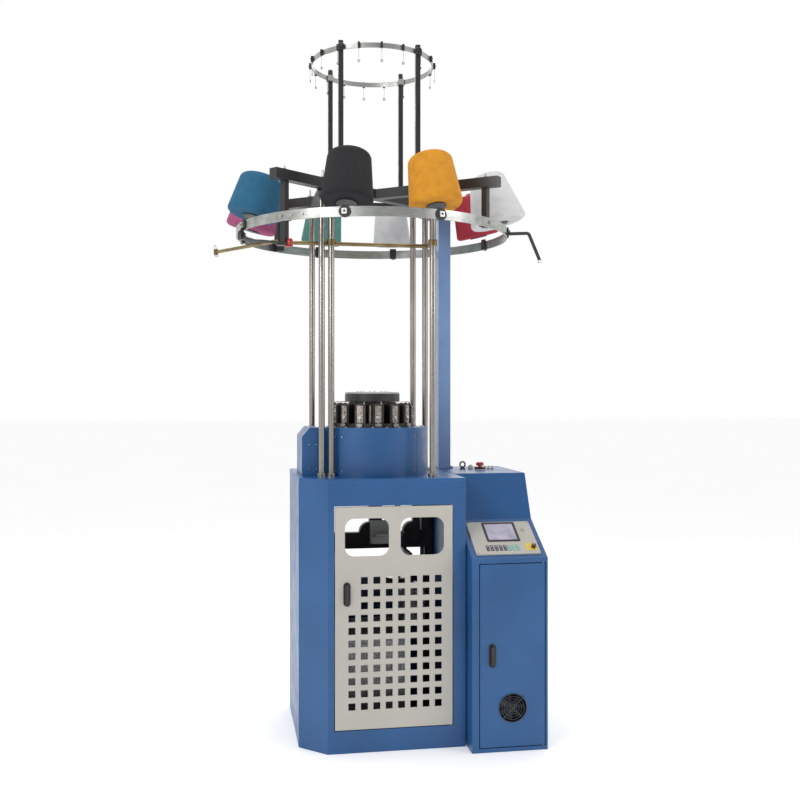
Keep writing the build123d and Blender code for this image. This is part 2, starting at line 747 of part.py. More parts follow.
shaft_top = gear_bottom + gear_width
with BuildPart() as drive_shaft:
    bar(shaft_x, shaft_y, shaft_radius, (shaft_bottom, shaft_top))
    with BuildSketch(Plane.XY.offset(gear_bottom)):
        with Locations((shaft_x, shaft_y)):
            Polygon(*gear_blank(pinion_teeth, line_of_centres + pi + pi / pinion_teeth), align=None)
    extrude(amount=gear_width)
    bar(shaft_x, shaft_y, shaft_pulley_radius, (pulley_bottom, pulley_bottom + pulley_width))
    for low in (pulley_bottom, pulley_bottom + pulley_width - flange_width):
        bar(shaft_x, shaft_y, shaft_pulley_radius + flange_lip, (low, low + flange_width))
save(drive_shaft, "drive_shaft")

motor_bore_depth = 40
with BuildPart() as drive_motor:
    half_motor = motor_size / 2
    block(
        (motor_x - half_motor, motor_x + half_motor),
        (motor_y - half_motor, motor_y + half_motor),
        (motor_bottom, motor_top),
    )
    fillet(drive_motor.edges().filter_by(Axis.Z), 10)
    bar(motor_x, motor_y, 40, (motor_top, motor_top + 6))
    bar(
        motor_x,
        motor_y,
        motor_shaft_radius + running_clearance,
        (motor_top - motor_bore_depth, motor_top + 7),
        mode=Mode.SUBTRACT,
    )
save(drive_motor, "drive_motor")

with BuildPart() as motor_pulley:
    motor_shaft_z = (motor_top - motor_bore_depth + 5, pulley_bottom + pulley_width)
    bar(motor_x, motor_y, motor_shaft_radius, motor_shaft_z)
    bar(motor_x, motor_y, motor_pulley_radius, (pulley_bottom, pulley_bottom + pulley_width))
    for low in (pulley_bottom, pulley_bottom + pulley_width - flange_width):
        bar(motor_x, motor_y, motor_pulley_radius + flange_lip, (low, low + flange_width))
save(motor_pulley, "motor_pulley")

belt_bottom = pulley_bottom + flange_width + 0.5
belt_width = pulley_width - 2 * flange_width - 1
with BuildPart() as drive_belt:
    for growth, mode in ((belt_clearance + belt_thickness, Mode.ADD), (belt_clearance, Mode.SUBTRACT)):
        with BuildSketch(Plane.XY.offset(belt_bottom)):
            with Locations((shaft_x, shaft_y)):
                Circle(shaft_pulley_radius + growth)
            with Locations((motor_x, motor_y)):
                Circle(motor_pulley_radius + growth)
            make_hull()
        extrude(amount=belt_width, mode=mode)
save(drive_belt, "drive_belt")

# ---------------------------------------------------------------- take-down
# One casting: a beam hung from the top plate on two flared legs, with a pair of
# cheeks for the rollers and the lower bearing of the drive shaft.
leg_spans = ((5, 60), (200, beam_right))
roller_y = roller_radius + roller_nip / 2
with BuildPart() as take_down_frame:
    with BuildSketch(Plane.XZ.offset(-beam_front)):
        with Locations(((beam_left + beam_right) / 2, (beam_bottom + beam_top) / 2)):
            Rectangle(beam_right - beam_left, beam_top - beam_bottom)
        for low, high in leg_spans:
            with Locations(((low + high) / 2, (beam_bottom + plate_bottom) / 2)):
                Rectangle(high - low, plate_bottom - beam_bottom)
            for edge, way in ((low, -1), (high, 1)):
                if edge == beam_right:
                    continue
                with BuildLine():
                    Line((edge, beam_top), (edge + way * casting_flare, beam_top))
                    RadiusArc(
                        (edge + way * casting_flare, beam_top),
                        (edge, beam_top + casting_flare),
                        -way * casting_flare,
                    )
                    Line((edge, beam_top + casting_flare), (edge, beam_top))
                make_face()
    extrude(amount=beam_front - beam_back)
    for side in (-1, 1):
        cheek = sorted((side * cheek_inside, side * (cheek_inside + cheek_thickness)))
        block(cheek, (-2 * roller_radius, beam_front + 2), (roller_height - 40, beam_bottom))
        block(cheek, (beam_front - 30, beam_back), (roller_height - 40, beam_top))
        for place_y in (-roller_y, roller_y):
            with Locations(Location((sum(cheek) / 2, place_y, roller_height), (0, 90, 0))):
                Cylinder(roller_journal + running_clearance, cheek_thickness + 2, mode=Mode.SUBTRACT)
    block(
        (shaft_x - 26, cheek_inside + 5),
        (shaft_y - 24, beam_front + 2),
        (beam_bottom + 20, beam_top - 10),
    )
    bar(shaft_x, shaft_y, shaft_radius + running_clearance, (beam_bottom, beam_top), mode=Mode.SUBTRACT)
save(take_down_frame, "take_down_frame")

for name, place_y in (("front_roller", -roller_y), ("rear_roller", roller_y)):
    with BuildPart() as roller:
        with Locations(Location((0, place_y, roller_height), (0, 90, 0))):
            Cylinder(roller_radius, 2 * cheek_inside - 3)
            Cylinder(roller_journal, 2 * cheek_inside + 2 * cheek_thickness - 3)
    save(roller, name)

with BuildPart() as fabric_bin:
    block((bin_left, bin_right), (bin_front, bin_back), (base_plate_thickness, bin_height))
    block(
        (bin_left + bin_sheet, bin_right - bin_sheet),
        (bin_front + bin_sheet, bin_back - bin_sheet),
        (base_plate_thickness + bin_sheet, bin_height + 1),
        mode=Mode.SUBTRACT,
    )
save(fabric_bin, "fabric_bin")

# ---------------------------------------------------------------- on the cabinet top
# Bevelled sheet cover beside the drum.
cover_sheet = 3
with BuildPart() as side_cover:
    across, down = side_box_bevel
    with BuildSketch(Plane.XZ.offset(-side_box_front)):
        Polygon(
            (side_box_right, cabinet_height),
            (side_box_right, drum_top),
            (side_box_left + across, drum_top),
            (side_box_left, drum_top - down),
            (side_box_left, cabinet_height),
            align=None,
        )
    extrude(amount=side_box_front - side_box_back)
    offset(amount=-cover_sheet, openings=side_cover.faces().sort_by(Axis.Z)[0])
save(side_cover, "side_cover")

# Square creel column with a foot plate, capped at the top.
column_front = top_post_y + beam_size / 2
with BuildPart() as creel_column:
    column_x = (column_left, column_left + column_width)
    column_y = (column_front, column_front + column_depth)
    block(column_x, column_y, (control_height, column_top))
    block(
        (column_x[0] + column_wall, column_x[1] - column_wall),
        (column_y[0] + column_wall, column_y[1] - column_wall),
        (control_height + flange_thickness, column_top - column_wall),
        mode=Mode.SUBTRACT,
    )
    block(
        (column_x[0], column_x[1] + flange_margin),
        (column_y[0] - flange_margin, column_y[1] + flange_margin),
        (control_height, control_height + flange_thickness),
    )
save(creel_column, "creel_column")

pillar_top = beam_underside - tie_thickness
with BuildPart() as creel_pillars:
    for x, y in pillar_centres:
        bar(x, y, pillar_radius, (cabinet_height, pillar_top))
        bar(x, y, pillar_foot_radius, (cabinet_height, cabinet_height + pillar_foot_height))
save(creel_pillars, "creel_pillars")

# ---------------------------------------------------------------- creel
# Welded beams: two crossed diagonals, a rear cross bar, two flat ties over the
# pillars and the drop posts that carry the ring.
rear_beam_y = column_front - column_gap - beam_size / 2 * cos(radians(beam_angle))
rear_beam_x = (rear_beam_y - cross_y) / sin(radians(beam_angle)) * cos(radians(beam_angle))
post_reach = sqrt(creel_inner**2 - (drop_post_size / 2) ** 2) - drop_post_size / 2 - 0.2
rear_y = (top_post_y - beam_size / 2, top_post_y + beam_size / 2)
cross_bar_half = column_left + column_width / 2
beam_lines = [
    (along_beam((-side, -1), beam_reach), Vector(side * rear_beam_x, rear_beam_y, 0))
    for side in (-1, 1)
]
beam_lines += [
    (on_creel(side * rear_arm_angle, rear_arm_start, 0), on_creel(side * rear_arm_angle, beam_reach, 0))
    for side in (-1, 1)
]
tie_front = min(y for x, y in pillar_centres) - tie_front_overhang
post_spots = [
    (along_beam((-1, -1), post_reach), creel_ring_bottom - long_post_drop),
    (along_beam((1, -1), post_reach), creel_ring_bottom),
    (on_creel(rear_arm_angle, post_reach, 0), creel_ring_bottom),
    (on_creel(-rear_arm_angle, post_reach, 0), creel_ring_bottom),
]
with BuildPart() as creel_beams:
    for near, far in beam_lines:
        middle, run = (near + far) / 2, far - near
        turn = degrees(atan2(run.Y, run.X))
        with Locations(Location((middle.X, middle.Y, beam_underside + beam_size / 2), (0, 0, turn))):
            Box(run.length, beam_size, beam_size)
    block((-cross_bar_half, cross_bar_half), rear_y, (beam_underside, beam_top_z))
    for side in (-1, 1):
        reaches = [abs(x) for x, y in pillar_centres if x * side > 0]
        near_x, far_x = min(reaches) - pillar_foot_radius, max(reaches) + pillar_foot_radius
        tie_x = sorted((side * near_x, side * far_x))
        block(tie_x, (tie_front, rear_y[1]), (pillar_top, beam_underside))
    for spot, post_bottom in post_spots:
        turn = degrees(atan2(spot.Y, spot.X))
        with Locations(Location((spot.X, spot.Y, (post_bottom + beam_underside) / 2), (0, 0, turn))):
            Box(drop_post_size, drop_post_size, beam_underside - post_bottom)
save(creel_beams, "creel_beams")

# Aluminium ring in two halves.
with BuildPart() as creel_ring:
    with BuildSketch(Plane.XY.offset(creel_ring_bottom)):
        Circle(creel_outer)
        Circle(creel_inner, mode=Mode.SUBTRACT)
        Rectangle(splice_gap, 2 * creel_outer + 10, rotation=52, mode=Mode.SUBTRACT)
    extrude(amount=creel_ring_height)
save(creel_ring, "creel_ring")

# Guide rail clamped to two pillars, and the two guide arms.
rail_right = pillar_centres[2][0] + 17
rail_z = creel_ring_bottom - rail_drop
left_arm_z = creel_ring_bottom - left_arm_drop
right_arm_points = [
    on_creel(right_arm_angle, creel_outer + beyond, creel_ring_bottom + rise)
    for beyond, rise in right_arm_bends
]
with BuildPart() as guide_rods:
    with Locations(Location(((rail_left + rail_right) / 2, rail_y, rail_z), (0, 90, 0))):
        Cylinder(rail_radius, rail_right - rail_left)
    for x, y in pillar_centres[1:3]:
        bar(x, y, collar_radius, (rail_z - collar_height / 2, rail_z + collar_height / 2))
        block((x - 8, x + 8), (y, rail_y + 4), (rail_z - 7, rail_z + 7))
        bar(
            x,
            y,
            pillar_radius + running_clearance,
            (rail_z - collar_height, rail_z + collar_height),
            mode=Mode.SUBTRACT,
        )
    post, _ = post_spots[0]
    arm_start = post + Vector(-drop_post_size, drop_post_size, 0) * 0.75
    rod((arm_start.X, arm_start.Y, left_arm_z), (-creel_radius - left_arm_overhang, left_arm_y, left_arm_z),
        arm_radius)
    with BuildLine() as right_arm:
        FilletPolyline(*right_arm_points, radius=right_arm_bend)
    with BuildSketch(Plane(origin=right_arm.line @ 0, z_dir=right_arm.line % 0)):
        Circle(arm_radius)
    sweep(path=right_arm.line)
    with BuildSketch(Plane.XY.offset(creel_ring_bottom)):
        Circle(creel_outer + 0.3)
    extrude(amount=creel_ring_height, mode=Mode.SUBTRACT)
save(guide_rods, "guide_rods")


def cone_plane(angle):
    """The seat of a yarn package: its normal leans inwards, along the package's axis."""
    seat = on_creel(angle, cone_seat_radius, cone_seat_height)
    inward = on_creel(angle, -sin(radians(cone_lean)), cos(radians(cone_lean)))
    sideways = on_creel(angle + 90, 1, 0)
    return Plane(origin=seat, x_dir=sideways, z_dir=inward)


# Pegs: each a rod on a tilted disc, held by a tab on the inside of the ring.
disc_top = -peg_gap
tab_top = (
    cone_seat_height
    - (creel_inner - cone_seat_radius) * sin(radians(cone_lean)) / cos(radians(cone_lean))
    - (peg_gap + peg_disc_thickness / 2) / cos(radians(cone_lean))
)
with BuildPart() as cone_pegs:
    for angle, *_ in yarn_packages:
        seat = cone_plane(angle)
        with BuildSketch(seat.offset(disc_top - peg_disc_thickness)):
            Circle(peg_disc_radius)
        extrude(amount=peg_disc_thickness)
        with BuildSketch(seat.offset(disc_top)):
            Circle(peg_radius)
        extrude(amount=peg_length)
        tab = on_creel(angle, creel_inner - 0.3 - peg_tab_thickness / 2, (creel_ring_bottom + tab_top) / 2)
        with Locations(Location(tuple(tab), (0, 0, -angle))):
            Box(peg_tab_width, peg_tab_thickness, tab_top - creel_ring_bottom)
save(cone_pegs, "cone_pegs")

for number, (angle, length, base, tip) in enumerate(yarn_packages, start=1):
    with BuildPart() as yarn_cone:
        seat = cone_plane(angle)
        with BuildSketch(Plane(origin=seat.origin, x_dir=seat.x_dir, z_dir=-seat.y_dir)):
            Polygon((core_bore, 0), (base, 0), (tip, length), (core_bore, length), align=None)
            for end, radius in ((0, cone_base_fillet), (-1, cone_tip_fillet)):
                rim = vertices().group_by(Axis.Y)[end].sort_by(Axis.X)[-1]
                fillet(rim, radius)
        revolve(axis=Axis(seat.origin, seat.z_dir))
    save(yarn_cone, f"yarn_cone_{number}")

# ---------------------------------------------------------------- top ring
# Four posts with forked heads that hold the upper guide ring.
with BuildPart() as top_ring_posts:
    for x in (-top_post_x, top_post_x):
        for y in (-top_post_y, top_post_y):
            block(
                (x - top_post_size / 2, x + top_post_size / 2),
                (y - top_post_size / 2, y + top_post_size / 2),
                (beam_top_z, top_ring_bottom + fork_height),
            )
    with BuildSketch(Plane.XY.offset(top_ring_bottom)):
        Circle(top_ring_radius + top_ring_band / 2 + 0.4)
        Circle(top_ring_radius - top_ring_band / 2 - 0.4, mode=Mode.SUBTRACT)
    extrude(amount=fork_height + 1, mode=Mode.SUBTRACT)
save(top_ring_posts, "top_ring_posts")

with BuildPart() as top_ring:
    with BuildSketch(Plane.XY.offset(top_ring_bottom)):
        Circle(top_ring_radius + top_ring_band / 2)
        Circle(top_ring_radius - top_ring_band / 2, mode=Mode.SUBTRACT)
    extrude(amount=top_ring_height)
save(top_ring, "top_ring")

# Eyelets: a straight wire on the outside of the ring with a closed loop below it.
wire_radius_place = top_ring_radius + top_ring_band / 2 + eyelet_wire + 0.2
with BuildPart() as yarn_eyelets:
    for number in range(eyelet_count):
        angle = 360 * (number + 0.5) / eyelet_count
        spot = on_creel(angle, wire_radius_place, 0)
        bar(
            spot.X,
            spot.Y,
            eyelet_wire,
            (top_ring_bottom - eyelet_drop + 2 * eyelet_radius, top_ring_bottom + top_ring_height),
        )
        loop_z = top_ring_bottom - eyelet_drop + eyelet_radius
        with Locations(Location((spot.X, spot.Y, loop_z), (90, 0, 0))):
            Torus(eyelet_radius, eyelet_wire)
save(yarn_eyelets, "yarn_eyelets")
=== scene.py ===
"""Looks of a small-diameter circular knitting machine, built round its CAD frame."""

import json
from math import atan2, cos, pi, radians, sin

import bmesh
import bpy
from mathutils import Matrix, Vector


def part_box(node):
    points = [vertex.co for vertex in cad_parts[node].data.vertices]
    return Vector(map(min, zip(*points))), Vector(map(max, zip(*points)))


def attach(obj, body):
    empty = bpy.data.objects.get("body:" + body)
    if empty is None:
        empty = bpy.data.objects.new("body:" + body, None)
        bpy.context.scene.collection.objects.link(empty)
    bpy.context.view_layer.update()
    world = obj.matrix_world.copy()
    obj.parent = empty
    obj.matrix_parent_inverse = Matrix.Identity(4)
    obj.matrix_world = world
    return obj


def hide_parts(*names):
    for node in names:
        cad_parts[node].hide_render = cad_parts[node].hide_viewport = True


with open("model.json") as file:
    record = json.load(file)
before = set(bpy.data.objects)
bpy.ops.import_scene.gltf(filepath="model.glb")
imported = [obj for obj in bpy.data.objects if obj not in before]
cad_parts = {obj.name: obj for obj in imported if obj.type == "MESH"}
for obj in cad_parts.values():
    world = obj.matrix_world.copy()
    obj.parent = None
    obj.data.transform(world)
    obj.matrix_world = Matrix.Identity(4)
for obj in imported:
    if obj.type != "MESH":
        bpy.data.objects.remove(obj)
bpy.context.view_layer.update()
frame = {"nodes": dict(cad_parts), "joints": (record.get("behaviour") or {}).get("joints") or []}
nodes = frame["nodes"]


# ---------------------------------------------------------------- cabinet
# The cabinet is a welded frame of square tube in a skin of folded sheet steel. The skin is
# powder coated in a strong blue with a faint orange peel, rubbed paler along its edges.
# The frame is painted satin black; the steel top plate under the knitting head takes the same blue.
def feed(tree, kind, values=(), **settings):
    """Adds a node to a tree, fills its sockets with values or links, and returns it."""
    node = tree.nodes.new(kind)
    for name, value in settings.items():
        setattr(node, name, value)
    pairs = values.items() if isinstance(values, dict) else enumerate(values)
    for key, value in pairs:
        if isinstance(value, bpy.types.NodeSocket):
            tree.links.new(value, node.inputs[key])
        elif value is not None:
            node.inputs[key].default_value = value
    return node


def sums(tree, operation, *values):
    """The result of one sum in a node tree."""
    return feed(tree, "ShaderNodeMath", values, operation=operation).outputs[0]


def tones(tree, amount, *stops):
    """A ramp over amount; each stop is a place from 0 to 1 and a colour."""
    ramp = feed(tree, "ShaderNodeValToRGB", [amount])
    bands = ramp.color_ramp.elements
    while len(bands) < len(stops):
        bands.new(0.5)
    for band, (place, colour) in zip(bands, stops):
        band.position = place
        band.color = (*colour, 1)
    return ramp.outputs["Color"]


def noise(tree, place, size, detail=4.0):
    """Smooth random patches of about a given size in metres."""
    values = {"Vector": place, "Scale": 1 / size, "Detail": detail}
    return feed(tree, "ShaderNodeTexNoise", values).outputs["Fac"]


def blank(name, roughness, metallic=0.0, **constants):
    """A new material, and its tree, shader and object coordinates."""
    material = bpy.data.materials.new(name)
    material.use_nodes = True
    tree = material.node_tree
    shader = tree.nodes["Principled BSDF"]
    shader.inputs["Roughness"].default_value = roughness
    shader.inputs["Metallic"].default_value = metallic
    for socket, value in constants.items():
        shader.inputs[socket.replace("_", " ")].default_value = value
    place = feed(tree, "ShaderNodeTexCoord").outputs["Object"]
    return material, tree, shader, place


def soften(tree, shader, radius, height, depth):
    """Rounds sharp edges for the light, and presses a grain of some depth over them."""
    edge = feed(tree, "ShaderNodeBevel", {"Radius": radius}, samples=4).outputs[0]
    values = {"Height": height, "Normal": edge, "Distance": depth}
    bump = feed(tree, "ShaderNodeBump", values).outputs[0]
    tree.links.new(bump, shader.inputs["Normal"])
    return edge


def worn(tree, edge, place, colour, rubbed):
    """A colour that is rubbed to another one, in broken patches, along the edges."""
    face = feed(tree, "ShaderNodeNewGeometry").outputs["Normal"]
    level = feed(tree, "ShaderNodeVectorMath", [edge, face], operation="DOT_PRODUCT").outputs["Value"]
    turned_away = sums(tree, "SUBTRACT", 1.0, level)
    broken = sums(tree, "MULTIPLY", turned_away, noise(tree, place, 0.012, 6))
    amount = tones(tree, broken, (0.05, (0, 0, 0)), (0.14, (1, 1, 1)))
    mix = feed(tree, "ShaderNodeMix", data_type="RGBA")
    tree.links.new(amount, mix.inputs["Factor"])
    tree.links.new(colour, mix.inputs[6])
    mix.inputs[7].default_value = (*rubbed, 1)
    return mix.outputs[2]


def paint(name, shade, light, rubbed, roughness, peel=0.00006, patch=0.35):
    """Powder coat or enamel: two close tones in wide patches, an orange peel, worn edges."""
    material, tree, shader, place = blank(name, roughness, Coat_Weight=0.12, Coat_Roughness=0.25)
    edge = soften(tree, shader, 0.0016, noise(tree, place, 0.0035, 2), peel)
    drift = tones(tree, noise(tree, place, patch), (0.3, shade), (0.7, light))
    tree.links.new(worn(tree, edge, place, drift, rubbed), shader.inputs["Base Color"])
    rough = tones(
        tree, noise(tree, place, 0.08), (0.3, (roughness - 0.06,) * 3), (0.7, (roughness + 0.08,) * 3)
    )
    tree.links.new(rough, shader.inputs["Roughness"])
    return material


def dress(material, *names):
    """Gives CAD nodes a finish."""
    for name in names:
        mesh = nodes[name].data
        mesh.materials.clear()
        mesh.materials.append(material)
        mesh.polygons.foreach_set("material_index", [0] * len(mesh.polygons))


blue_paint = paint("blue_powder_coat", (0.007, 0.066, 0.200), (0.012, 0.092, 0.262), (0.07, 0.19, 0.40), 0.36)
black_paint = paint("black_enamel", (0.011, 0.011, 0.012), (0.022, 0.021, 0.022), (0.10, 0.10, 0.10), 0.40)
dress(blue_paint, "cabinet_shell", "rear_panel", "top_plate")
dress(black_paint, "cabinet_frame")


def turned(profile, place=Matrix(), segments=40):
    """A part turned on a lathe: (radius, height) points from its lower pole to its upper one."""
    bm = bmesh.new()
    rings = []
    for radius, height in profile:
        count = segments if radius > 1e-6 else 1
        turn = [2 * pi * k / count for k in range(count)]
        rings.append([bm.verts.new((radius * cos(a), radius * sin(a), height)) for a in turn])
    for low, high in zip(rings, rings[1:]):
        for k in range(segments):
            corners = [
                low[k % len(low)], low[(k + 1) % len(low)], high[(k + 1) % len(high)], high[k % len(high)]
            ]
            corners = list(dict.fromkeys(corners))
            if len(corners) > 2:
                bm.faces.new(corners)
    if len(rings[0]) > 1 and len(rings[-1]) > 1:
        for k in range(segments):
            after = (k + 1) % segments
            bm.faces.new((rings[-1][k], rings[-1][after], rings[0][after], rings[0][k]))
    bmesh.ops.recalc_face_normals(bm, faces=bm.faces)
    bm.transform(place)
    return bm


def plate(outline, low, high, place=Matrix(), bevel=0.0, segments=2):
    """A flat part with the given outline between two heights, its edges rounded by bevel."""
    bm = bmesh.new()
    bottom = [bm.verts.new((x, y, low)) for x, y in outline]
    top = [bm.verts.new((x, y, high)) for x, y in outline]
    bm.faces.new(bottom[::-1])
    bm.faces.new(top)
    for k in range(len(outline)):
        after = (k + 1) % len(outline)
        bm.faces.new((bottom[k], bottom[after], top[after], top[k]))
    if bevel:
        bmesh.ops.bevel(
            bm, geom=bm.edges[:], offset=bevel, segments=segments, affect="EDGES", clamp_overlap=True
        )
    bmesh.ops.recalc_face_normals(bm, faces=bm.faces)
    bm.transform(place)
    return bm


def cuboid(size, place=Matrix(), bevel=0.001):
    """A rounded block centred on its place."""
    x, y, z = (side / 2 for side in size)
    return plate(((-x, -y), (x, -y), (x, y), (-x, y)), -z, z, place, bevel)


def rounded(width, height, corner, steps=6):
    """Outline of a rectangle with round corners, centred on its place."""
    points = []
    for quarter, (sx, sy) in enumerate(((1, -1), (1, 1), (-1, 1), (-1, -1))):
        for step in range(steps + 1):
            angle = radians(90 * (quarter - 1) + 90 * step / steps)
            x = sx * (width / 2 - corner) + corner * cos(angle)
            points.append((x, sy * (height / 2 - corner) + corner * sin(angle)))
    return points


def joined(name, shapes):
    """One mesh made of several shapes."""
    mesh = bpy.data.meshes.new(name)
    whole = bmesh.new()
    for shape in shapes:
        shape.to_mesh(mesh)
        whole.from_mesh(mesh)
        shape.free()
    whole.to_mesh(mesh)
    whole.free()
    return mesh


def part(name, shapes, material, body, smooth=35):
    """Joins shapes into one piece with a finish, which rides on a body."""
    return settle(name, joined(name, shapes), material, body, smooth)


def settle(name, mesh, material, body, smooth):
    """Puts a mesh in the scene as a piece on a body, smooth up to an angle in degrees."""
    mesh.polygons.foreach_set("use_smooth", [True] * len(mesh.polygons))
    mesh.set_sharp_from_angle(angle=radians(smooth))
    mesh.name = name
    mesh.materials.clear()
    mesh.materials.append(material)
    piece = bpy.data.objects.new(name, mesh)
    bpy.context.scene.collection.objects.link(piece)
    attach(piece, body)
    return piece


def facing(point, direction, roll=0.0):
    """A place at a point whose Z runs along a direction."""
    turn = Vector(direction).to_track_quat("Z", "Y").to_matrix().to_4x4()
    return Matrix.Translation(point) @ turn @ Matrix.Rotation(roll, 4, "Z")


def hexagon(across):
    """Outline of a hexagon with a given width across its flats."""
    return [(across / 3**0.5 * cos(k * pi / 3), across / 3**0.5 * sin(k * pi / 3)) for k in range(6)]


def hex_bolt(size, place=Matrix(), stick_out=0.0):
    """A washer and a hexagon head, and a stud of some length standing out of it."""
    shapes = [
        turned([(0, 0), (size, 0), (size, size * 0.16), (0, size * 0.16)], place, 20),
        plate(hexagon(size * 1.6), size * 0.16, size * 0.85, place, size * 0.06),
    ]
    if stick_out:
        tip = size * 0.85 + stick_out
        shapes.append(
            turned(
                [(0, 0), (size / 2, 0), (size / 2, tip - 0.001), (size / 2 - 0.001, tip), (0, tip)], place, 16
            )
        )
    return shapes


def cap_screw(size, place=Matrix()):
    """A round socket head with its hexagon recess."""
    socket, rim, height = size * 0.5, size * 0.9, size
    profile = [
        (0, 0),
        (rim, 0),
        (rim, height * 0.85),
        (rim * 0.85, height),
        (socket, height),
        (socket * 0.95, height * 0.5),
        (0, height * 0.5),
    ]
    return [turned(profile, place, 18)]


def repeats(name):
    """A new Geometry Nodes tree that gives out one geometry."""
    tree = bpy.data.node_groups.new(name, "GeometryNodeTree")
    tree.interface.new_socket("Geometry", in_out="OUTPUT", socket_type="NodeSocketGeometry")
    return tree


def finish_tree(tree, points, given):
    """Copies the part onto points, makes the copies real, and gives them their finish."""
    source = feed(tree, "GeometryNodeObjectInfo", {"Object": given["Part"]}).outputs["Geometry"]
    where = feed(tree, "GeometryNodeInputPosition").outputs[0]
    split = feed(tree, "ShaderNodeSeparateXYZ", [where])
    angle = sums(tree, "ARCTAN2", split.outputs["Y"], split.outputs["X"])
    turn = feed(
        tree, "ShaderNodeCombineXYZ", [0.0, 0.0, sums(tree, "MULTIPLY", angle, given["Face Outwards"])]
    )
    copies = feed(
        tree,
        "GeometryNodeInstanceOnPoints",
        {"Points": points, "Instance": source, "Rotation": turn.outputs[0]},
    ).outputs[0]
    moved = feed(
        tree,
        "GeometryNodeTransform",
        {"Geometry": copies, "Translation": given["Place"], "Rotation": given["Turn"]},
    ).outputs[0]
    real = feed(tree, "GeometryNodeRealizeInstances", [moved]).outputs[0]
    painted = feed(
        tree, "GeometryNodeSetMaterial", {"Geometry": real, "Material": given["Finish"]}
    ).outputs[0]
    feed(tree, "NodeGroupOutput", [painted])


def given_inputs(tree, *wanted):
    """Adds named inputs to a tree and returns their sockets by name."""
    kinds = {"Part": "Object", "Finish": "Material", "Place": "Vector", "Turn": "Vector"}
    for name, kind in wanted:
        tree.interface.new_socket(name, in_out="INPUT", socket_type="NodeSocket" + kinds.get(name, kind))
    group = tree.nodes.new("NodeGroupInput")
    return {name: group.outputs[name] for name, _ in wanted}


common_inputs = (("Part", ""), ("Finish", ""), ("Place", ""), ("Turn", ""), ("Face Outwards", "Float"))
grid_tree = repeats("rows_and_columns")
given = given_inputs(
    grid_tree, *common_inputs, ("Width", "Float"), ("Height", "Float"), ("Columns", "Int"), ("Rows", "Int")
)
field = feed(
    grid_tree,
    "GeometryNodeMeshGrid",
    {
        "Size X": given["Width"],
        "Size Y": given["Height"],
        "Vertices X": given["Columns"],
        "Vertices Y": given["Rows"],
    },
)
finish_tree(grid_tree, field.outputs["Mesh"], given)


def grow(name, tree, material, body, slot=None, shapes=None, smooth=35, **inputs):
    """Runs a node tree on a part and keeps the result as one plain mesh on a body."""
    carrier = bpy.data.objects.new(name + "_carrier", bpy.data.meshes.new(name))
    bpy.context.scene.collection.objects.link(carrier)
    values = {key.replace("_", " ").title(): value for key, value in inputs.items()}
    values["Finish"] = material
    if shapes:
        values["Part"] = bpy.data.objects.new(name + "_part", joined(name + "_sample", shapes))
        bpy.context.scene.collection.objects.link(values["Part"])
    modifier = carrier.modifiers.new("nodes", "NODES")
    modifier.node_group = tree
    for item in tree.interface.items_tree:
        if item.in_out == "INPUT" and item.name in values:
            modifier[item.identifier] = values[item.name]
    graph = bpy.context.evaluated_depsgraph_get()
    mesh = bpy.data.meshes.new_from_object(carrier.evaluated_get(graph))
    bpy.data.objects.remove(carrier)
    if "Part" in values:
        bpy.data.objects.remove(values["Part"])
    return settle(name, mesh, material, body, smooth)


def metal(name, shade, light, roughness, streak=(1, 1, 1), streak_size=0.01, depth=0.00001, tarnish=0.12):
    """Bare metal: drawn or ground streaks, a little tarnish in patches."""
    material, tree, shader, place = blank(name, roughness, 1.0)
    stretched = feed(tree, "ShaderNodeMapping", {"Vector": place, "Scale": streak}).outputs[0]
    lines = noise(tree, stretched, streak_size, 3)
    if depth:
        soften(tree, shader, 0.0007, lines, depth)
    drift = sums(tree, "MULTIPLY_ADD", noise(tree, place, tarnish), 0.6, sums(tree, "MULTIPLY", lines, 0.4))
    tree.links.new(tones(tree, drift, (0.3, shade), (0.66, light)), shader.inputs["Base Color"])
    rough = tones(tree, drift, (0.3, (roughness + 0.12,) * 3), (0.7, (roughness - 0.05,) * 3))
    tree.links.new(rough, shader.inputs["Roughness"])
    return material


zinc = metal("zinc_plated_steel", (0.34, 0.33, 0.31), (0.62, 0.61, 0.58), 0.36)
panel_low, panel_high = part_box("rear_panel")
grow(
    "rear_panel_screws", grid_tree, zinc, "machine", "polished_steel",
    cap_screw(0.005),
    place=((panel_low.x + panel_high.x) / 2, panel_high.y, (panel_low.z + panel_high.z) / 2),
    turn=(-pi / 2, 0.0, 0.0),
    width=panel_high.x - panel_low.x - 0.016,
    height=panel_high.z - panel_low.z - 0.03,
    columns=2,
    rows=6,
)


# ---------------------------------------------------------------- drive and take-down
# Under the top plate hangs a rough iron casting, painted black, with the lower shaft bearing
# and two rubber-covered take-down rollers. A finned motor on a shelf drives the shaft by a
# toothed belt, and the knitted tube drops into a bin of galvanised sheet.
cast_iron = paint(
    "painted_casting", (0.012, 0.012, 0.014), (0.03, 0.03, 0.033), (0.07, 0.07, 0.07), 0.55, 0.0005, 0.06
)
dress(cast_iron, "take_down_frame")


def dull(name, shade, light, roughness, grain=0.002, depth=0.00005, patch=0.05, **constants):
    """Rubber, plastic or any soft-lustred stuff in two close tones with a fine grain."""
    material, tree, shader, place = blank(name, roughness, **constants)
    soften(tree, shader, 0.0008, noise(tree, place, grain, 2), depth)
    colour = tones(tree, noise(tree, place, patch), (0.3, shade), (0.7, light))
    tree.links.new(colour, shader.inputs["Base Color"])
    return material


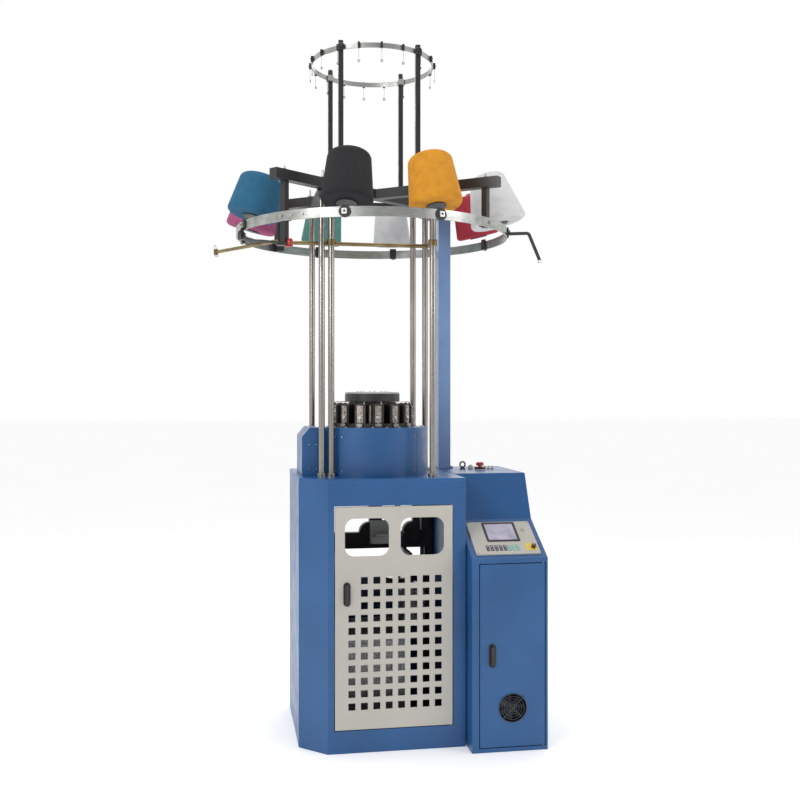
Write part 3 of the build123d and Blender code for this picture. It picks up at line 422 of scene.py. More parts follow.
rubber = dull("black_rubber", (0.010, 0.010, 0.010), (0.022, 0.022, 0.021), 0.75)
steel = metal("ground_steel", (0.30, 0.29, 0.27), (0.60, 0.58, 0.54), 0.30, (1, 1, 12), 0.004)
galvanised = metal("galvanised_sheet", (0.26, 0.27, 0.28), (0.50, 0.51, 0.52), 0.45, tarnish=0.02)
dress(rubber, "front_roller", "rear_roller", "drive_belt")
dress(steel, "drive_shaft", "motor_pulley", "cylinder_gear", "door_hinges")
dress(galvanised, "fabric_bin", "drive_motor")

motor_low, motor_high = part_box("drive_motor")
motor_middle = (motor_low + motor_high) / 2
motor_side = motor_high.x - motor_low.x
fin_run = motor_high.z - motor_low.z - 0.05
grow(
    "motor_fins", grid_tree, galvanised, "machine", "aluminium",
    [
        plate(
            rounded(motor_side + 0.010, motor_side + 0.010, 0.014),
            -0.001,
            0.001,
            Matrix.Rotation(pi / 2, 4, "X"),
        )
    ],
    place=motor_middle,
    turn=(pi / 2, 0.0, 0.0),
    width=0.0,
    height=fin_run,
    columns=1,
    rows=9,
)

frame_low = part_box("take_down_frame")[0]
shelf_light = paint("pale_bracket", (0.40, 0.40, 0.38), (0.55, 0.55, 0.52), (0.3, 0.3, 0.3), 0.4)
bracket_x, bracket_z = 0.035, frame_low.z + 0.155
bracket = Matrix.Translation((bracket_x, -0.070, bracket_z)) @ Matrix.Rotation(pi / 2, 4, "X")
part(
    "fabric_guide_bracket",
    [
        cuboid((0.096, 0.004, 0.10), Matrix.Translation((bracket_x, -0.02, bracket_z + 0.03))),
        cuboid((0.096, 0.030, 0.005), bracket),
        cuboid((0.060, 0.012, 0.006), bracket @ Matrix.Translation((0, 0.022, 0))),
    ],
    shelf_light,
    "machine",
)
rod_foot = Vector((0.232, 0.096, frame_low.z + 0.175))
part(
    "oil_level_rod",
    [
        turned([(0, 0), (0.005, 0), (0.005, 0.07), (0.009, 0.075), (0.010, 0.082), (0.007, 0.09), (0, 0.092)],
               Matrix.Translation(rod_foot), 16),
    ],
    steel,
    "machine",
)


# ---------------------------------------------------------------- front door
# A folded sheet pan in a pale cream powder coat, with punched air holes and two windows.
# Its quarter-turn lock is moulded in black plastic, in an oval dish let into the sheet.
cream_paint = paint(
    "cream_powder_coat", (0.42, 0.402, 0.36), (0.49, 0.47, 0.425), (0.60, 0.58, 0.53), 0.45, patch=0.5
)
black_plastic = dull("black_moulded_plastic", (0.012, 0.012, 0.013), (0.020, 0.020, 0.021), 0.42)
dress(cream_paint, "front_door")
dress(black_plastic, "front_lock_lever", "control_lock_lever")


def moulding(outlines, place):
    """A closed band through (outline, height) pairs, one after another and back to the first."""
    bm = bmesh.new()
    loops = [[bm.verts.new((x, y, height)) for x, y in outline] for outline, height in outlines]
    for near, far in zip(loops, loops[1:] + loops[:1]):
        for k in range(len(near)):
            after = (k + 1) % len(near)
            bm.faces.new((near[k], near[after], far[after], far[k]))
    bmesh.ops.recalc_face_normals(bm, faces=bm.faces)
    bm.transform(place)
    return bm


def lock_dish(name, lever, door, body):
    """The oval dish behind a lever: a raised rim round a sunk floor, with a rivet at its foot."""
    low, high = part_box(lever)
    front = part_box(door)[0].y
    middle = Vector(((low.x + high.x) / 2, front, (low.z + high.z) / 2))
    place = facing(middle, (0, -1, 0))
    width, length = high.x - low.x + 0.012, high.z - low.z + 0.017
    outer = rounded(width, length, width / 2 - 0.0001, 8)
    inner = rounded(width - 0.005, length - 0.005, width / 2 - 0.0026, 8)
    floor = plate(outer, 0.0002, 0.0016, place)
    rim = moulding(((outer, 0.0), (outer, 0.003), (inner, 0.0042), (inner, 0.0010)), place)
    rivet_place = place @ Matrix.Translation((0, 0.3 * length, 0))
    rivet = turned([(0, 0.0016), (0.003, 0.0016), (0.0026, 0.0032), (0, 0.0036)], rivet_place, 14)
    return part(name, [floor, rim, rivet], black_plastic, body)


lock_dish("front_lock_dish", "front_lock_lever", "front_door", "front_door")


# ---------------------------------------------------------------- control box
# A second sheet-steel box bolted beside the cabinet, in the same blue. Its door carries a
# black cooling fan behind a guard of welded wire rings, and the same lever lock.
dress(blue_paint, "control_box_shell", "control_door")
dress(black_plastic, "fan_frame", "fan_impeller")
dress(galvanised, "electrical_panel")
lock_dish("control_lock_dish", "control_lock_lever", "control_door", "control_door")


def wire(points, radius, closed=False, curved=True, sides=3):
    """A round wire bent along points."""
    curve = bpy.data.curves.new("wire", "CURVE")
    curve.dimensions = "3D"
    curve.bevel_depth = radius
    curve.bevel_resolution = sides
    curve.resolution_u = 5
    curve.use_fill_caps = True
    spline = curve.splines.new("NURBS" if curved else "POLY")
    spline.points.add(len(points) - 1)
    for knot, point in zip(spline.points, points):
        knot.co = (*point, 1)
    spline.order_u = 3
    spline.use_endpoint_u = not closed
    spline.use_cyclic_u = closed
    holder = bpy.data.objects.new("wire", curve)
    bpy.context.scene.collection.objects.link(holder)
    graph = bpy.context.evaluated_depsgraph_get()
    mesh = bpy.data.meshes.new_from_object(holder.evaluated_get(graph))
    bm = bmesh.new()
    bm.from_mesh(mesh)
    bpy.data.objects.remove(holder)
    bpy.data.curves.remove(curve)
    bpy.data.meshes.remove(mesh)
    return bm


def loop_points(radius, count=24, place=Matrix()):
    """Points round a circle."""
    return [
        place @ Vector((radius * cos(2 * pi * k / count), radius * sin(2 * pi * k / count), 0))
        for k in range(count)
    ]


guard_enamel = paint("guard_enamel", (0.016, 0.020, 0.030), (0.034, 0.040, 0.055), (0.12, 0.13, 0.15), 0.38)
guard_low, guard_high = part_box("fan_guard")
guard_middle = (guard_low + guard_high) / 2
guard_place = facing((guard_middle.x, guard_high.y - 0.003, guard_middle.z), (0, -1, 0))
guard_radius = (guard_high.x - guard_low.x) / 2
guard_wires = [
    wire(loop_points(guard_radius * share, 24, guard_place), 0.0014, True)
    for share in (0.98, 0.8, 0.62, 0.44, 0.26)
]
for turn in (45, 135):
    arm = Matrix.Rotation(radians(turn), 4, "Z")
    ends = [guard_place @ arm @ Vector((side * (guard_radius + 0.004), 0, 0.0022)) for side in (-1, 1)]
    guard_wires.append(wire(ends, 0.0016, False, False))
fan_guard = part("fan_wire_guard", guard_wires, guard_enamel, "control_door")
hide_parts("fan_guard")

control_low, control_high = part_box("control_box_shell")


# ---------------------------------------------------------------- console
# A cream control panel on the slope of the box: a colour screen in a dark bezel, a row of
# moulded keys, a yellow pad round the selector knob, and a small key switch.
selector = next(joint for joint in frame["joints"] if joint["name"] == "selector_turn")
up_slope = Vector((0, selector["axis"][2], -selector["axis"][1]))
console_turn = Matrix((Vector((1, 0, 0)), up_slope, Vector(selector["axis"]))).transposed().to_4x4()


def on_slope(node):
    """The middle of a panel part's outer face, as a place on the slope, and its own size."""
    low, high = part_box(node)
    size = high - low
    s, c = -selector["axis"][1], selector["axis"][2]
    length = (size.y * c - size.z * s) / (c * c - s * s)
    thickness = (size.z * c - size.y * s) / (c * c - s * s)
    middle = (low + high) / 2 + Vector(selector["axis"]) * thickness / 2
    return Matrix.Translation(middle) @ console_turn, size.x, length


dress(cream_paint, "console_panel")
panel_place, panel_width, panel_length = on_slope("console_panel")
screen_place, screen_width, screen_length = on_slope("display_screen")

screen_glass, tree, shader, place = blank("screen_glass", 0.16, Coat_Weight=0.6, Coat_Roughness=0.04)
glow = tones(tree, noise(tree, place, 0.05, 1), (0.3, (0.30, 0.28, 0.37)), (0.7, (0.47, 0.45, 0.55)))
tree.links.new(glow, shader.inputs["Base Color"])
dress(screen_glass, "display_screen")

bezel_corner = 0.004
bezel_steps = ((0.004, -0.0008), (0.004, 0.0012), (0.0015, 0.0028), (-0.004, 0.0028), (-0.0055, 0.0002))
bezel_outlines = [
    (rounded(screen_width + 2 * grow_by, screen_length + 2 * grow_by, bezel_corner, 3), height)
    for grow_by, height in bezel_steps
]
bezel_plastic = dull("bezel_plastic", (0.020, 0.018, 0.028), (0.032, 0.028, 0.042), 0.4)
part("screen_bezel", [moulding(bezel_outlines, screen_place)], bezel_plastic, "machine")

dark_key = dull("dark_key_plastic", (0.055, 0.045, 0.085), (0.085, 0.070, 0.125), 0.45)
green_key = dull("green_key_plastic", (0.13, 0.36, 0.28), (0.20, 0.46, 0.37), 0.45)
light_key = dull("key_mark_white", (0.62, 0.60, 0.58), (0.75, 0.73, 0.70), 0.5)
for number in range(1, 9):
    key = f"console_key_{number}"
    dress(dark_key if number < 6 else green_key, key)
    key_place, key_width, key_length = on_slope(key)
    mark = []
    for share, shift in ((0.10, 0.28), (0.04, -0.25)):
        outline = rounded(key_width * 0.5, key_length * share, 0.0008, 2)
        mark.append(plate(outline, 0.0, 0.0004, key_place @ Matrix.Translation((0, key_length * shift, 0))))
    part(f"key_mark_{number}", mark, light_key, key)

yellow = dull("yellow_membrane", (0.62, 0.43, 0.06), (0.72, 0.52, 0.10), 0.5)
knob_low, knob_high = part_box("selector_knob")
knob_middle = panel_place.inverted() @ ((knob_low + knob_high) / 2)
pad_width, pad_length = 0.047, 0.046
pad_x = knob_middle.x - pad_width / 2 + 0.014
part(
    "selector_pad",
    [
        plate(
            rounded(pad_width, pad_length, 0.003, 3),
            0.0,
            0.0006,
            panel_place @ Matrix.Translation((pad_x, knob_middle.y + 0.004, 0)),
        )
    ],
    yellow, "machine",
)
knob_radius = (knob_high.x - knob_low.x) / 2
knob_place = panel_place @ Matrix.Translation((knob_middle.x, knob_middle.y, 0))
dark_red = dull("dark_red_plastic", (0.055, 0.008, 0.006), (0.09, 0.014, 0.010), 0.35)
dress(dark_red, "selector_knob")
part(
    "selector_pointer",
    [
        cuboid(
            (0.003, knob_radius * 1.1, 0.0016),
            knob_place @ Matrix.Translation((0, knob_radius * 0.4, 0.0149)),
            0.0004,
        )
    ],
    light_key, "selector_knob",
)
switch_place = panel_place @ Matrix.Translation((panel_width / 2 - 0.040, 0.046, 0))
part(
    "key_switch",
    [
        turned(
            [
                (0, 0),
                (0.0085, 0),
                (0.0085, 0.002),
                (0.0065, 0.0045),
                (0.0030, 0.0045),
                (0.0028, 0.003),
                (0, 0.003),
            ],
            switch_place,
            24,
        ),
        cuboid((0.0012, 0.006, 0.0010), switch_place @ Matrix.Translation((0, 0, 0.0046)), 0.0003),
    ],
    zinc, "machine",
)
screw_inset = 0.014
grow(
    "console_screws", grid_tree, zinc, "machine", "polished_steel", cap_screw(0.0035),
    place=panel_place.translation, turn=panel_place.to_euler(),
    width=panel_width - screw_inset, height=panel_length - screw_inset, columns=2, rows=2,
)


# ---------------------------------------------------------------- emergency stop and fittings
# A red mushroom button in a dark red base with a pale collar, a black lifting eye, and a
# hexagonal cable gland with three small plugs beside it, all on top of the control box.
red_plastic = dull("red_moulded_plastic", (0.36, 0.012, 0.012), (0.48, 0.022, 0.02), 0.3, Coat_Weight=0.3)
pale_plastic = dull("pale_grey_plastic", (0.42, 0.41, 0.40), (0.55, 0.54, 0.52), 0.45)
dress(red_plastic, "emergency_stop_button")
dress(dark_red, "emergency_stop_base")
stop_low, stop_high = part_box("emergency_stop_base")
stop_middle = Vector(((stop_low.x + stop_high.x) / 2, (stop_low.y + stop_high.y) / 2, control_high.z))
base_radius = (stop_high.x - stop_low.x) / 2
stop_place = Matrix.Translation(stop_middle)
part(
    "emergency_stop_collar",
    [
        turned(
            [
                (base_radius - 0.001, 0),
                (base_radius + 0.003, 0),
                (base_radius + 0.003, 0.003),
                (base_radius - 0.001, 0.0045),
            ],
            stop_place,
        )
    ],
    pale_plastic, "machine",
)
eye_place = Matrix.Translation((control_low.x + 0.106, stop_middle.y + 0.075, control_high.z))
eye_upright = eye_place @ Matrix.Rotation(pi / 2, 4, "X")
eye_turns = [2 * pi * k / 20 for k in range(20)]
eye_ring = [eye_upright @ Vector((0.012 * cos(a), 0.021 + 0.012 * sin(a), 0)) for a in eye_turns]
part(
    "lifting_eye",
    [
        turned(
            [(0, 0), (0.013, 0), (0.013, 0.004), (0.006, 0.008), (0.005, 0.011), (0, 0.011)], eye_place, 24
        ),
        wire(eye_ring, 0.0036, True),
    ],
    black_paint, "machine",
)
gland_place = Matrix.Translation((control_low.x + 0.142, stop_middle.y + 0.069, control_high.z))
gland_shapes = [
    plate(hexagon(0.022), 0, 0.007, gland_place, 0.0008),
    turned([(0, 0.007), (0.010, 0.007), (0.0095, 0.016), (0.006, 0.020), (0, 0.020)], gland_place, 24),
]
for step in range(3):
    stand = gland_place @ Matrix.Translation((0.060 + 0.017 * step, -0.030, 0))
    gland_shapes.append(
        turned([(0, 0), (0.007, 0), (0.007, 0.006), (0.003, 0.011), (0.003, 0.016), (0, 0.017)], stand, 18)
    )
part("cable_glands", gland_shapes, pale_plastic, "machine")


# ---------------------------------------------------------------- knitting head
# A drum of rolled blue sheet closes off the gears. On its bed fourteen cam boxes of blacked
# steel stand in a ring, each with a bright cover plate held by two socket screws and a foot
# block, round the ground steel cylinder with its ring of latch needles. A black dial caps it.
dark_steel = metal("blacked_steel", (0.035, 0.033, 0.032), (0.085, 0.080, 0.075), 0.42, tarnish=0.03)
bright_steel = metal(
    "bright_cover_steel", (0.14, 0.12, 0.10), (0.52, 0.47, 0.42), 0.28, (1, 1, 2), 0.006, 0.00003, 0.012
)
dress(blue_paint, "drum_cover", "cam_bed", "side_cover")
dress(dark_steel, "cam_boxes")
bed = nodes["cam_bed"]
bed.data.materials.append(dark_steel)
bed_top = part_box("drum_cover")[1].z + 0.0075
for face in bed.data.polygons:
    if (bed.matrix_world @ face.center).z > bed_top and (bed.matrix_world @ face.center).xy.length < 0.18:
        face.material_index = 1
dress(steel, "needle_cylinder")
dress(black_paint, "dial")

ring_tree = repeats("ring_of_parts")
given = given_inputs(ring_tree, *common_inputs, ("Count", "Int"), ("Radius", "Float"), ("Start", "Float"))
circle = feed(
    ring_tree, "GeometryNodeMeshCircle", {"Vertices": given["Count"], "Radius": given["Radius"]}
).outputs[0]
start_turn = feed(ring_tree, "ShaderNodeCombineXYZ", [0.0, 0.0, given["Start"]]).outputs[0]
spots = feed(ring_tree, "GeometryNodeTransform", {"Geometry": circle, "Rotation": start_turn}).outputs[0]
finish_tree(ring_tree, spots, given)

box_count = 14
box_low, box_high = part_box("cam_boxes")
box_face, box_height = -box_low.y, box_high.z - box_low.z


def round_head(name, material, shapes, radius, slot, count=box_count, start=-pi / 2, body="machine"):
    """Copies of a part round the machine's axis; its X points outwards."""
    return grow(
        name, ring_tree, material, body, slot, shapes,
        place=(
            0.0, 0.0, 0.0
        ), turn=(0.0, 0.0, 0.0), face_outwards=1.0, count=count, radius=radius, start=start,
    )


cover_height = box_height - 0.010
cover_middle = Matrix.Translation(
    (0, 0, box_low.z + box_height / 2 - 0.001)
) @ Matrix.Rotation(pi / 2, 4, "Y")
round_head(
    "cam_cover_plates",
    bright_steel,
    [plate(rounded(cover_height, 0.026, 0.003, 3), 0, 0.003, cover_middle, 0.0005, 1)],
    box_face,
    "polished_steel",
)
cover_screws = []
for lift in (-0.026, 0.004, 0.028):
    cover_screws += cap_screw(0.0042, cover_middle @ Matrix.Translation((-lift, 0, 0.003)))
cover_screws.append(
    turned(
        [(0, 0), (0.0085, 0), (0.0085, 0.0035), (0.0065, 0.005), (0, 0.005)],
        cover_middle @ Matrix.Translation((0.014, 0, 0.003)),
        22,
    )
)
round_head("cam_cover_screws", zinc, cover_screws, box_face, "polished_steel")
round_head(
    "cam_foot_blocks", bright_steel,
    [
        cuboid((0.012, 0.026, 0.013), Matrix.Translation((0.0062, 0, box_low.z - 0.007)))
    ] + cap_screw(0.004, Matrix.Translation((0.0062, 0, box_low.z - 0.0005))),
    box_face, "polished_steel",
)
top_clamps = [cuboid((0.030, 0.020, 0.004), Matrix.Translation((-0.020, 0, box_high.z + 0.0015)), 0.0006)]
for step in (-0.030, -0.010):
    top_clamps += cap_screw(0.0032, Matrix.Translation((step, 0, box_high.z + 0.003)))
round_head("cam_box_clamps", dark_steel, top_clamps, box_face, "polished_steel")
feeder_bends = [
    (-0.006, 0.015, box_high.z - 0.002),
    (-0.004, 0.015, box_high.z + 0.008),
    (-0.020, 0.013, box_high.z + 0.012),
    (-0.046, 0.006, box_high.z + 0.010),
]
yarn_feeders = [
    wire(feeder_bends, 0.0014),
    turned(
        [(0, 0), (0.003, 0), (0.003, 0.006), (0, 0.006)],
        Matrix.Translation((-0.006, 0.015, box_high.z - 0.001)),
        12,
    ),
]
round_head("yarn_feeders", steel, yarn_feeders, box_face, "polished_steel")

bed_low, bed_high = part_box("drum_cover")
bed_screws = cap_screw(0.004, Matrix.Translation((0, 0, bed_high.z + 0.008)))
round_head("bed_screws", zinc, bed_screws, bed_high.x - 0.012, "polished_steel", count=24, start=radians(7.5))
panel_screws = []
for level in (bed_low.z + 0.02, bed_high.z - 0.03):
    for side in (-1, 1):
        panel_screws += cap_screw(
            0.0032, Matrix.Rotation(side * radians(4.5), 4, "Z") @ facing((bed_high.x, 0, level), (1, 0, 0))
        )
round_head("drum_panel_screws", zinc, panel_screws, 0.0001, "polished_steel", count=4, start=pi / 4)

# The needles: a flat stem in each trick, a hook at the top and a latch that swings on a pin.
needle_low, needle_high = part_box("needles")
cylinder_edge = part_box("needle_cylinder")[1].x
stem_top = needle_high.z - 0.005
needle_radius = cylinder_edge + 0.0018
hook = [
    (0.0006 * cos(a) + 0.0006, 0, stem_top + 0.0036 + 0.0012 * sin(a))
    for a in [pi - k * pi / 6 for k in range(9)]
]
needle_shapes = [
    cuboid(
        (0.0026, 0.0011, stem_top - needle_low.z),
        Matrix.Translation((0, 0, (stem_top + needle_low.z) / 2)),
        0.0001,
    ),
    wire([(0, 0, stem_top - 0.001)] + hook, 0.00042, sides=1),
    cuboid(
        (0.0004, 0.0007, 0.006),
        Matrix.Translation((0.0022, 0, stem_top - 0.002)) @ Matrix.Rotation(radians(14), 4, "Y"),
        0.0001,
    ),
]
needle_steel = metal("needle_steel", (0.45, 0.43, 0.40), (0.80, 0.78, 0.74), 0.2)
needle_count = 72
needles = round_head(
    "latch_needles", needle_steel, needle_shapes, needle_radius, "polished_steel",
    needle_count, 0.0, "cylinder",
)
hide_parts("needles")

dial_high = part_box("dial")[1]
dial_radius = dial_high.x
dial_cap = dull("dial_cap_grey", (0.34, 0.34, 0.33), (0.46, 0.455, 0.44), 0.4)
cap_profile = [
    (0.034, dial_high.z - 0.001),
    (dial_radius - 0.003, dial_high.z - 0.001),
    (dial_radius - 0.001, dial_high.z + 0.001),
    (dial_radius - 0.001, dial_high.z + 0.005),
    (dial_radius - 0.004, dial_high.z + 0.0075),
    (0.036, dial_high.z + 0.0075),
    (0.034, dial_high.z + 0.0055),
]
part("dial_cap_ring", [turned(cap_profile, segments=96)], dial_cap, "cylinder")
dial_screws = cap_screw(0.004, Matrix.Translation((0, 0, dial_high.z + 0.0072)))
round_head("dial_screws", zinc, dial_screws, dial_radius * 0.55, "polished_steel", 8, 0.0, "cylinder")


# ---------------------------------------------------------------- pillars and column
# Six ground steel rods stand on the top plate and carry the creel. A square tube of
# blue-painted steel, bolted down through its foot plate, carries the wiring on the right.
pillar_steel = metal(
    "ground_pillar_steel", (0.26, 0.24, 0.215), (0.40, 0.375, 0.34), 0.24, (1, 1, 1), 0.15, 0.0, 0.4
)
dress(pillar_steel, "creel_pillars")
column_blue = paint("blue_column_paint", (0.13, 0.22, 0.42), (0.20, 0.32, 0.55), (0.35, 0.48, 0.68), 0.4)
dress(column_blue, "creel_column")
column_low, column_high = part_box("creel_column")
column_middle, foot_top = (column_low.y + column_high.y) / 2, column_low.z + 0.008
grow(
    "column_foot_bolts", grid_tree, zinc, "machine", "polished_steel", hex_bolt(0.0042),
    place=(column_high.x - 0.0055, column_middle, foot_top), turn=(0.0, 0.0, 0.0),
    width=0.0, height=0.062, columns=1, rows=2,
)
grow(
    "column_side_bolts", grid_tree, zinc, "machine", "polished_steel", hex_bolt(0.0035),
    place=(column_low.x + 0.028, column_middle, foot_top), turn=(0.0, 0.0, 0.0),
    width=0.036, height=0.0705, columns=2, rows=2,
)
cover_low, cover_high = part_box("side_cover")
grow(
    "side_cover_screws", grid_tree, zinc, "machine", "polished_steel", cap_screw(0.003),
    place=((cover_low.x + cover_high.x) / 2 + 0.008, cover_low.y, (cover_low.z + cover_high.z) / 2 - 0.02),
    turn=(pi / 2, 0.0, 0.0), width=0.030, height=0.10, columns=2, rows=2,
)


# ---------------------------------------------------------------- creel beams
# Two crossed diagonals, a cross bar and two rear arms of square steel tube, welded together
# and enamelled black. Drop posts hang from their ends and hold the ring.
dress(black_paint, "creel_beams", "cone_pegs")
beams_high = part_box("creel_beams")[1]
bolt_spots = [(-0.240, -0.269), (-0.258, 0.123), (0.230, -0.261), (0.230, 0.100)]
studs = []
for x, y in bolt_spots:
    studs += hex_bolt(0.010, Matrix.Translation((x, y, beams_high.z)), 0.026)
part("pillar_studs", studs, zinc, "machine")

ring_low, ring_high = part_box("creel_ring")
ring_radius = ring_high.x
ring_middle = (ring_low.z + ring_high.z) / 2
post_spots = [(-0.410, -0.403), (0.410, -0.403), (0.39, 0.42), (-0.39, 0.42)]
post_angles = [atan2(y, x) for x, y in post_spots]
post_bolts, post_clamps = [], []
for angle in post_angles:
    outward = Vector((cos(angle), sin(angle), 0))
    head = outward * (ring_radius + 0.0002)
    post_bolts += hex_bolt(0.008, facing((head.x, head.y, ring_middle), outward, radians(15)))
    top = outward * (ring_radius - 0.019)
    post_bolts += hex_bolt(0.009, Matrix.Translation((top.x, top.y, beams_high.z)), 0.010)
    inner = outward * (ring_radius - 0.034)
    clamp = Matrix.Translation((inner.x, inner.y, ring_middle)) @ Matrix.Rotation(angle, 4, "Z")
    post_clamps.append(cuboid((0.007, 0.040, 0.030), clamp))
part("drop_post_bolts", post_bolts, zinc, "machine")
part("drop_post_clamps", post_clamps, black_paint, "machine")


# ---------------------------------------------------------------- creel ring
# A band of extruded aluminium, rolled to a circle in two halves and joined by splice plates.
# Outside it, each package has a clamp disc with a square nut that holds its peg.
aluminium = metal(
    "rolled_aluminium", (0.25, 0.26, 0.245), (0.52, 0.53, 0.50), 0.36, (1, 1, 14), 0.05, 0.00001, 0.05
)
dress(aluminium, "creel_ring", "top_ring")


def round_ring(angle, radius, height):
    """A place on the ring's outside, facing outwards, at an angle from the front to the left."""
    outward = Vector((-sin(radians(angle)), -cos(radians(angle)), 0))
    spot = outward * radius
    return facing((spot.x, spot.y, height), outward)


lifts = [joint for joint in frame["joints"] if joint["name"].endswith("_lift")]
package_angles = [atan2(joint["axis"][0], joint["axis"][1]) * 180 / pi for joint in lifts]
clamp_discs, square_nuts, nut_holes = [], [], []
for angle in package_angles:
    place = round_ring(angle, ring_radius - 0.0005, ring_middle)
    clamp_discs.append(
        turned(
            [
                (0, 0),
                (0.023, 0),
                (0.023, 0.005),
                (0.0215, 0.0065),
                (0.017, 0.0065),
                (0.016, 0.005),
                (0, 0.005),
            ],
            place,
            36,
        )
    )
    square_nuts.append(cuboid((0.022, 0.022, 0.008), place @ Matrix.Translation((0, 0, 0.009)), 0.0015))
    nut_holes.append(
        turned([(0, 0.012), (0.0042, 0.012), (0.0042, 0.0145), (0.003, 0.0155), (0, 0.0155)], place, 16)
    )
part("peg_clamp_discs", clamp_discs, black_plastic, "machine")
part("peg_clamp_nuts", square_nuts, zinc, "machine")
part("peg_clamp_studs", nut_holes, dark_steel, "machine")
splices, splice_bolts = [], []
splice_corners = ((-0.0062, -0.014), (-0.0062, 0.014), (-0.0112, 0.014), (-0.0112, -0.014))
splice_reach, splice_bolt_reach, steps = 5, 2.6, 8  # degrees each way, and pieces along the bar
for angle in (-52 + 90, -52 - 90):
    for across in (-1, 1):
        bolt_angle = angle + across * splice_bolt_reach
        splice_bolts += hex_bolt(0.006, round_ring(bolt_angle, ring_radius - 0.0002, ring_middle))
    bar = bmesh.new()
    loops = []
    for step in range(steps + 1):
        turn = radians(angle + splice_reach * (2 * step / steps - 1))
        corners = []
        for radius, height in splice_corners:
            reach = ring_radius + radius
            corners.append(bar.verts.new((-reach * sin(turn), -reach * cos(turn), ring_middle + height)))
        loops.append(corners)
    for near, far in zip(loops, loops[1:]):
        for k in range(4):
            bar.faces.new((near[k], near[(k + 1) % 4], far[(k + 1) % 4], far[k]))
    bar.faces.new(loops[0])
    bar.faces.new(loops[-1])
    bmesh.ops.recalc_face_normals(bar, faces=bar.faces)
    splices.append(bar)
part("ring_splice_plates", splices, aluminium, "machine")
part("ring_splice_bolts", splice_bolts, zinc, "machine")


# ---------------------------------------------------------------- guide rail and arms
# A round brass rail is clamped across two pillars. A brass arm with an end block and a wire
# hook reaches out on the left, and a bent black rod with a wire eye on the right. A black
# stop-motion rod with a red lamp runs from the ring to the left drop post.
rail_brass = metal(
    "tarnished_brass", (0.13, 0.095, 0.045), (0.36, 0.28, 0.14), 0.34, (0.05, 1, 1), 0.02, 0.00001, 0.06
)
dress(rail_brass, "guide_rods")
rods = nodes["guide_rods"].data
rods.materials.append(black_paint)
rods_place = nodes["guide_rods"].matrix_world
for face in rods.polygons:
    middle = rods_place @ face.center
    if middle.x > 0.3:
        face.material_index = 1
rods_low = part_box("guide_rods")[0]
arm_end = Vector((rods_low.x + 0.007, -0.021, ring_low.z - 0.070))
part(
    "left_arm_block",
    [cuboid((0.018, 0.022, 0.024), Matrix.Translation(arm_end), 0.002)],
    rail_brass,
    "machine",
)
hook_bends = (
    (0.004, 0, 0), (0.000, 0, 0.024), (-0.006, 0, 0.030), (-0.010, 0, 0.020), (-0.008, 0, -0.012),
    (0.002, 0, -0.022), (0.010, 0, -0.014),
)
hook_points = [arm_end + Vector(bend) for bend in hook_bends]
part("left_arm_hook", [wire(hook_points, 0.0014)], steel, "machine")

stop_angle = 71.5
post_foot = Vector((*post_spots[0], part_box("creel_beams")[0].z))
stop_start = round_ring(stop_angle, ring_radius + 0.012, ring_low.z - 0.030).translation
stop_rod = [
    stop_start,
    stop_start + Vector((0.030, -0.050, -0.022)),
    post_foot + Vector((-0.05, 0.03, 0.010)),
    post_foot + Vector((0, 0.004, -0.004)),
]
stop_neck = [
    stop_start + Vector((0, 0, 0.024)),
    stop_start + Vector((0, 0, 0.036)),
    round_ring(stop_angle, ring_radius - 0.001, ring_low.z + 0.004).translation,
]
stop_body = [(0, 0), (0.014, 0), (0.014, 0.030), (0.010, 0.036), (0, 0.036)]
part(
    "stop_motion_rod",
    [
        wire(stop_rod, 0.0055),
        turned(stop_body, Matrix.Translation(stop_start - Vector((0, 0, 0.012))), 24),
        wire(stop_neck, 0.005),
        cuboid((0.040, 0.034, 0.012), Matrix.Translation(post_foot + Vector((0, 0, -0.005))), 0.002),
    ],
    black_paint, "machine",
)
part(
    "stop_motion_lamp",
    [turned([(0, 0), (0.011, 0), (0.012, 0.004), (0.012, 0.020), (0.008, 0.026), (0, 0.027)],
            Matrix.Translation(post_foot + Vector((0.030, -0.004, -0.010))), 24),
     cuboid((0.030, 0.016, 0.008), Matrix.Translation(post_foot + Vector((0.026, -0.004, -0.012))), 0.001)],
    red_plastic, "machine",
)
right_arm_angle, right_eye_radius = radians(68), 0.007
right_outward = Vector((sin(right_arm_angle), -cos(right_arm_angle), 0))
right_end = right_outward * (ring_radius + 0.137)
right_end.z = rods_low.z + 0.004
right_eye = []
for angle in [2 * pi * k / 14 for k in range(14)]:
    rise = Vector((0, 0, right_eye_radius * sin(angle) - 0.006))
    right_eye.append(right_end + right_outward * (right_eye_radius * cos(angle)) + rise)
part("right_arm_eye", [wire(right_eye, 0.0016, True)], steel, "machine")


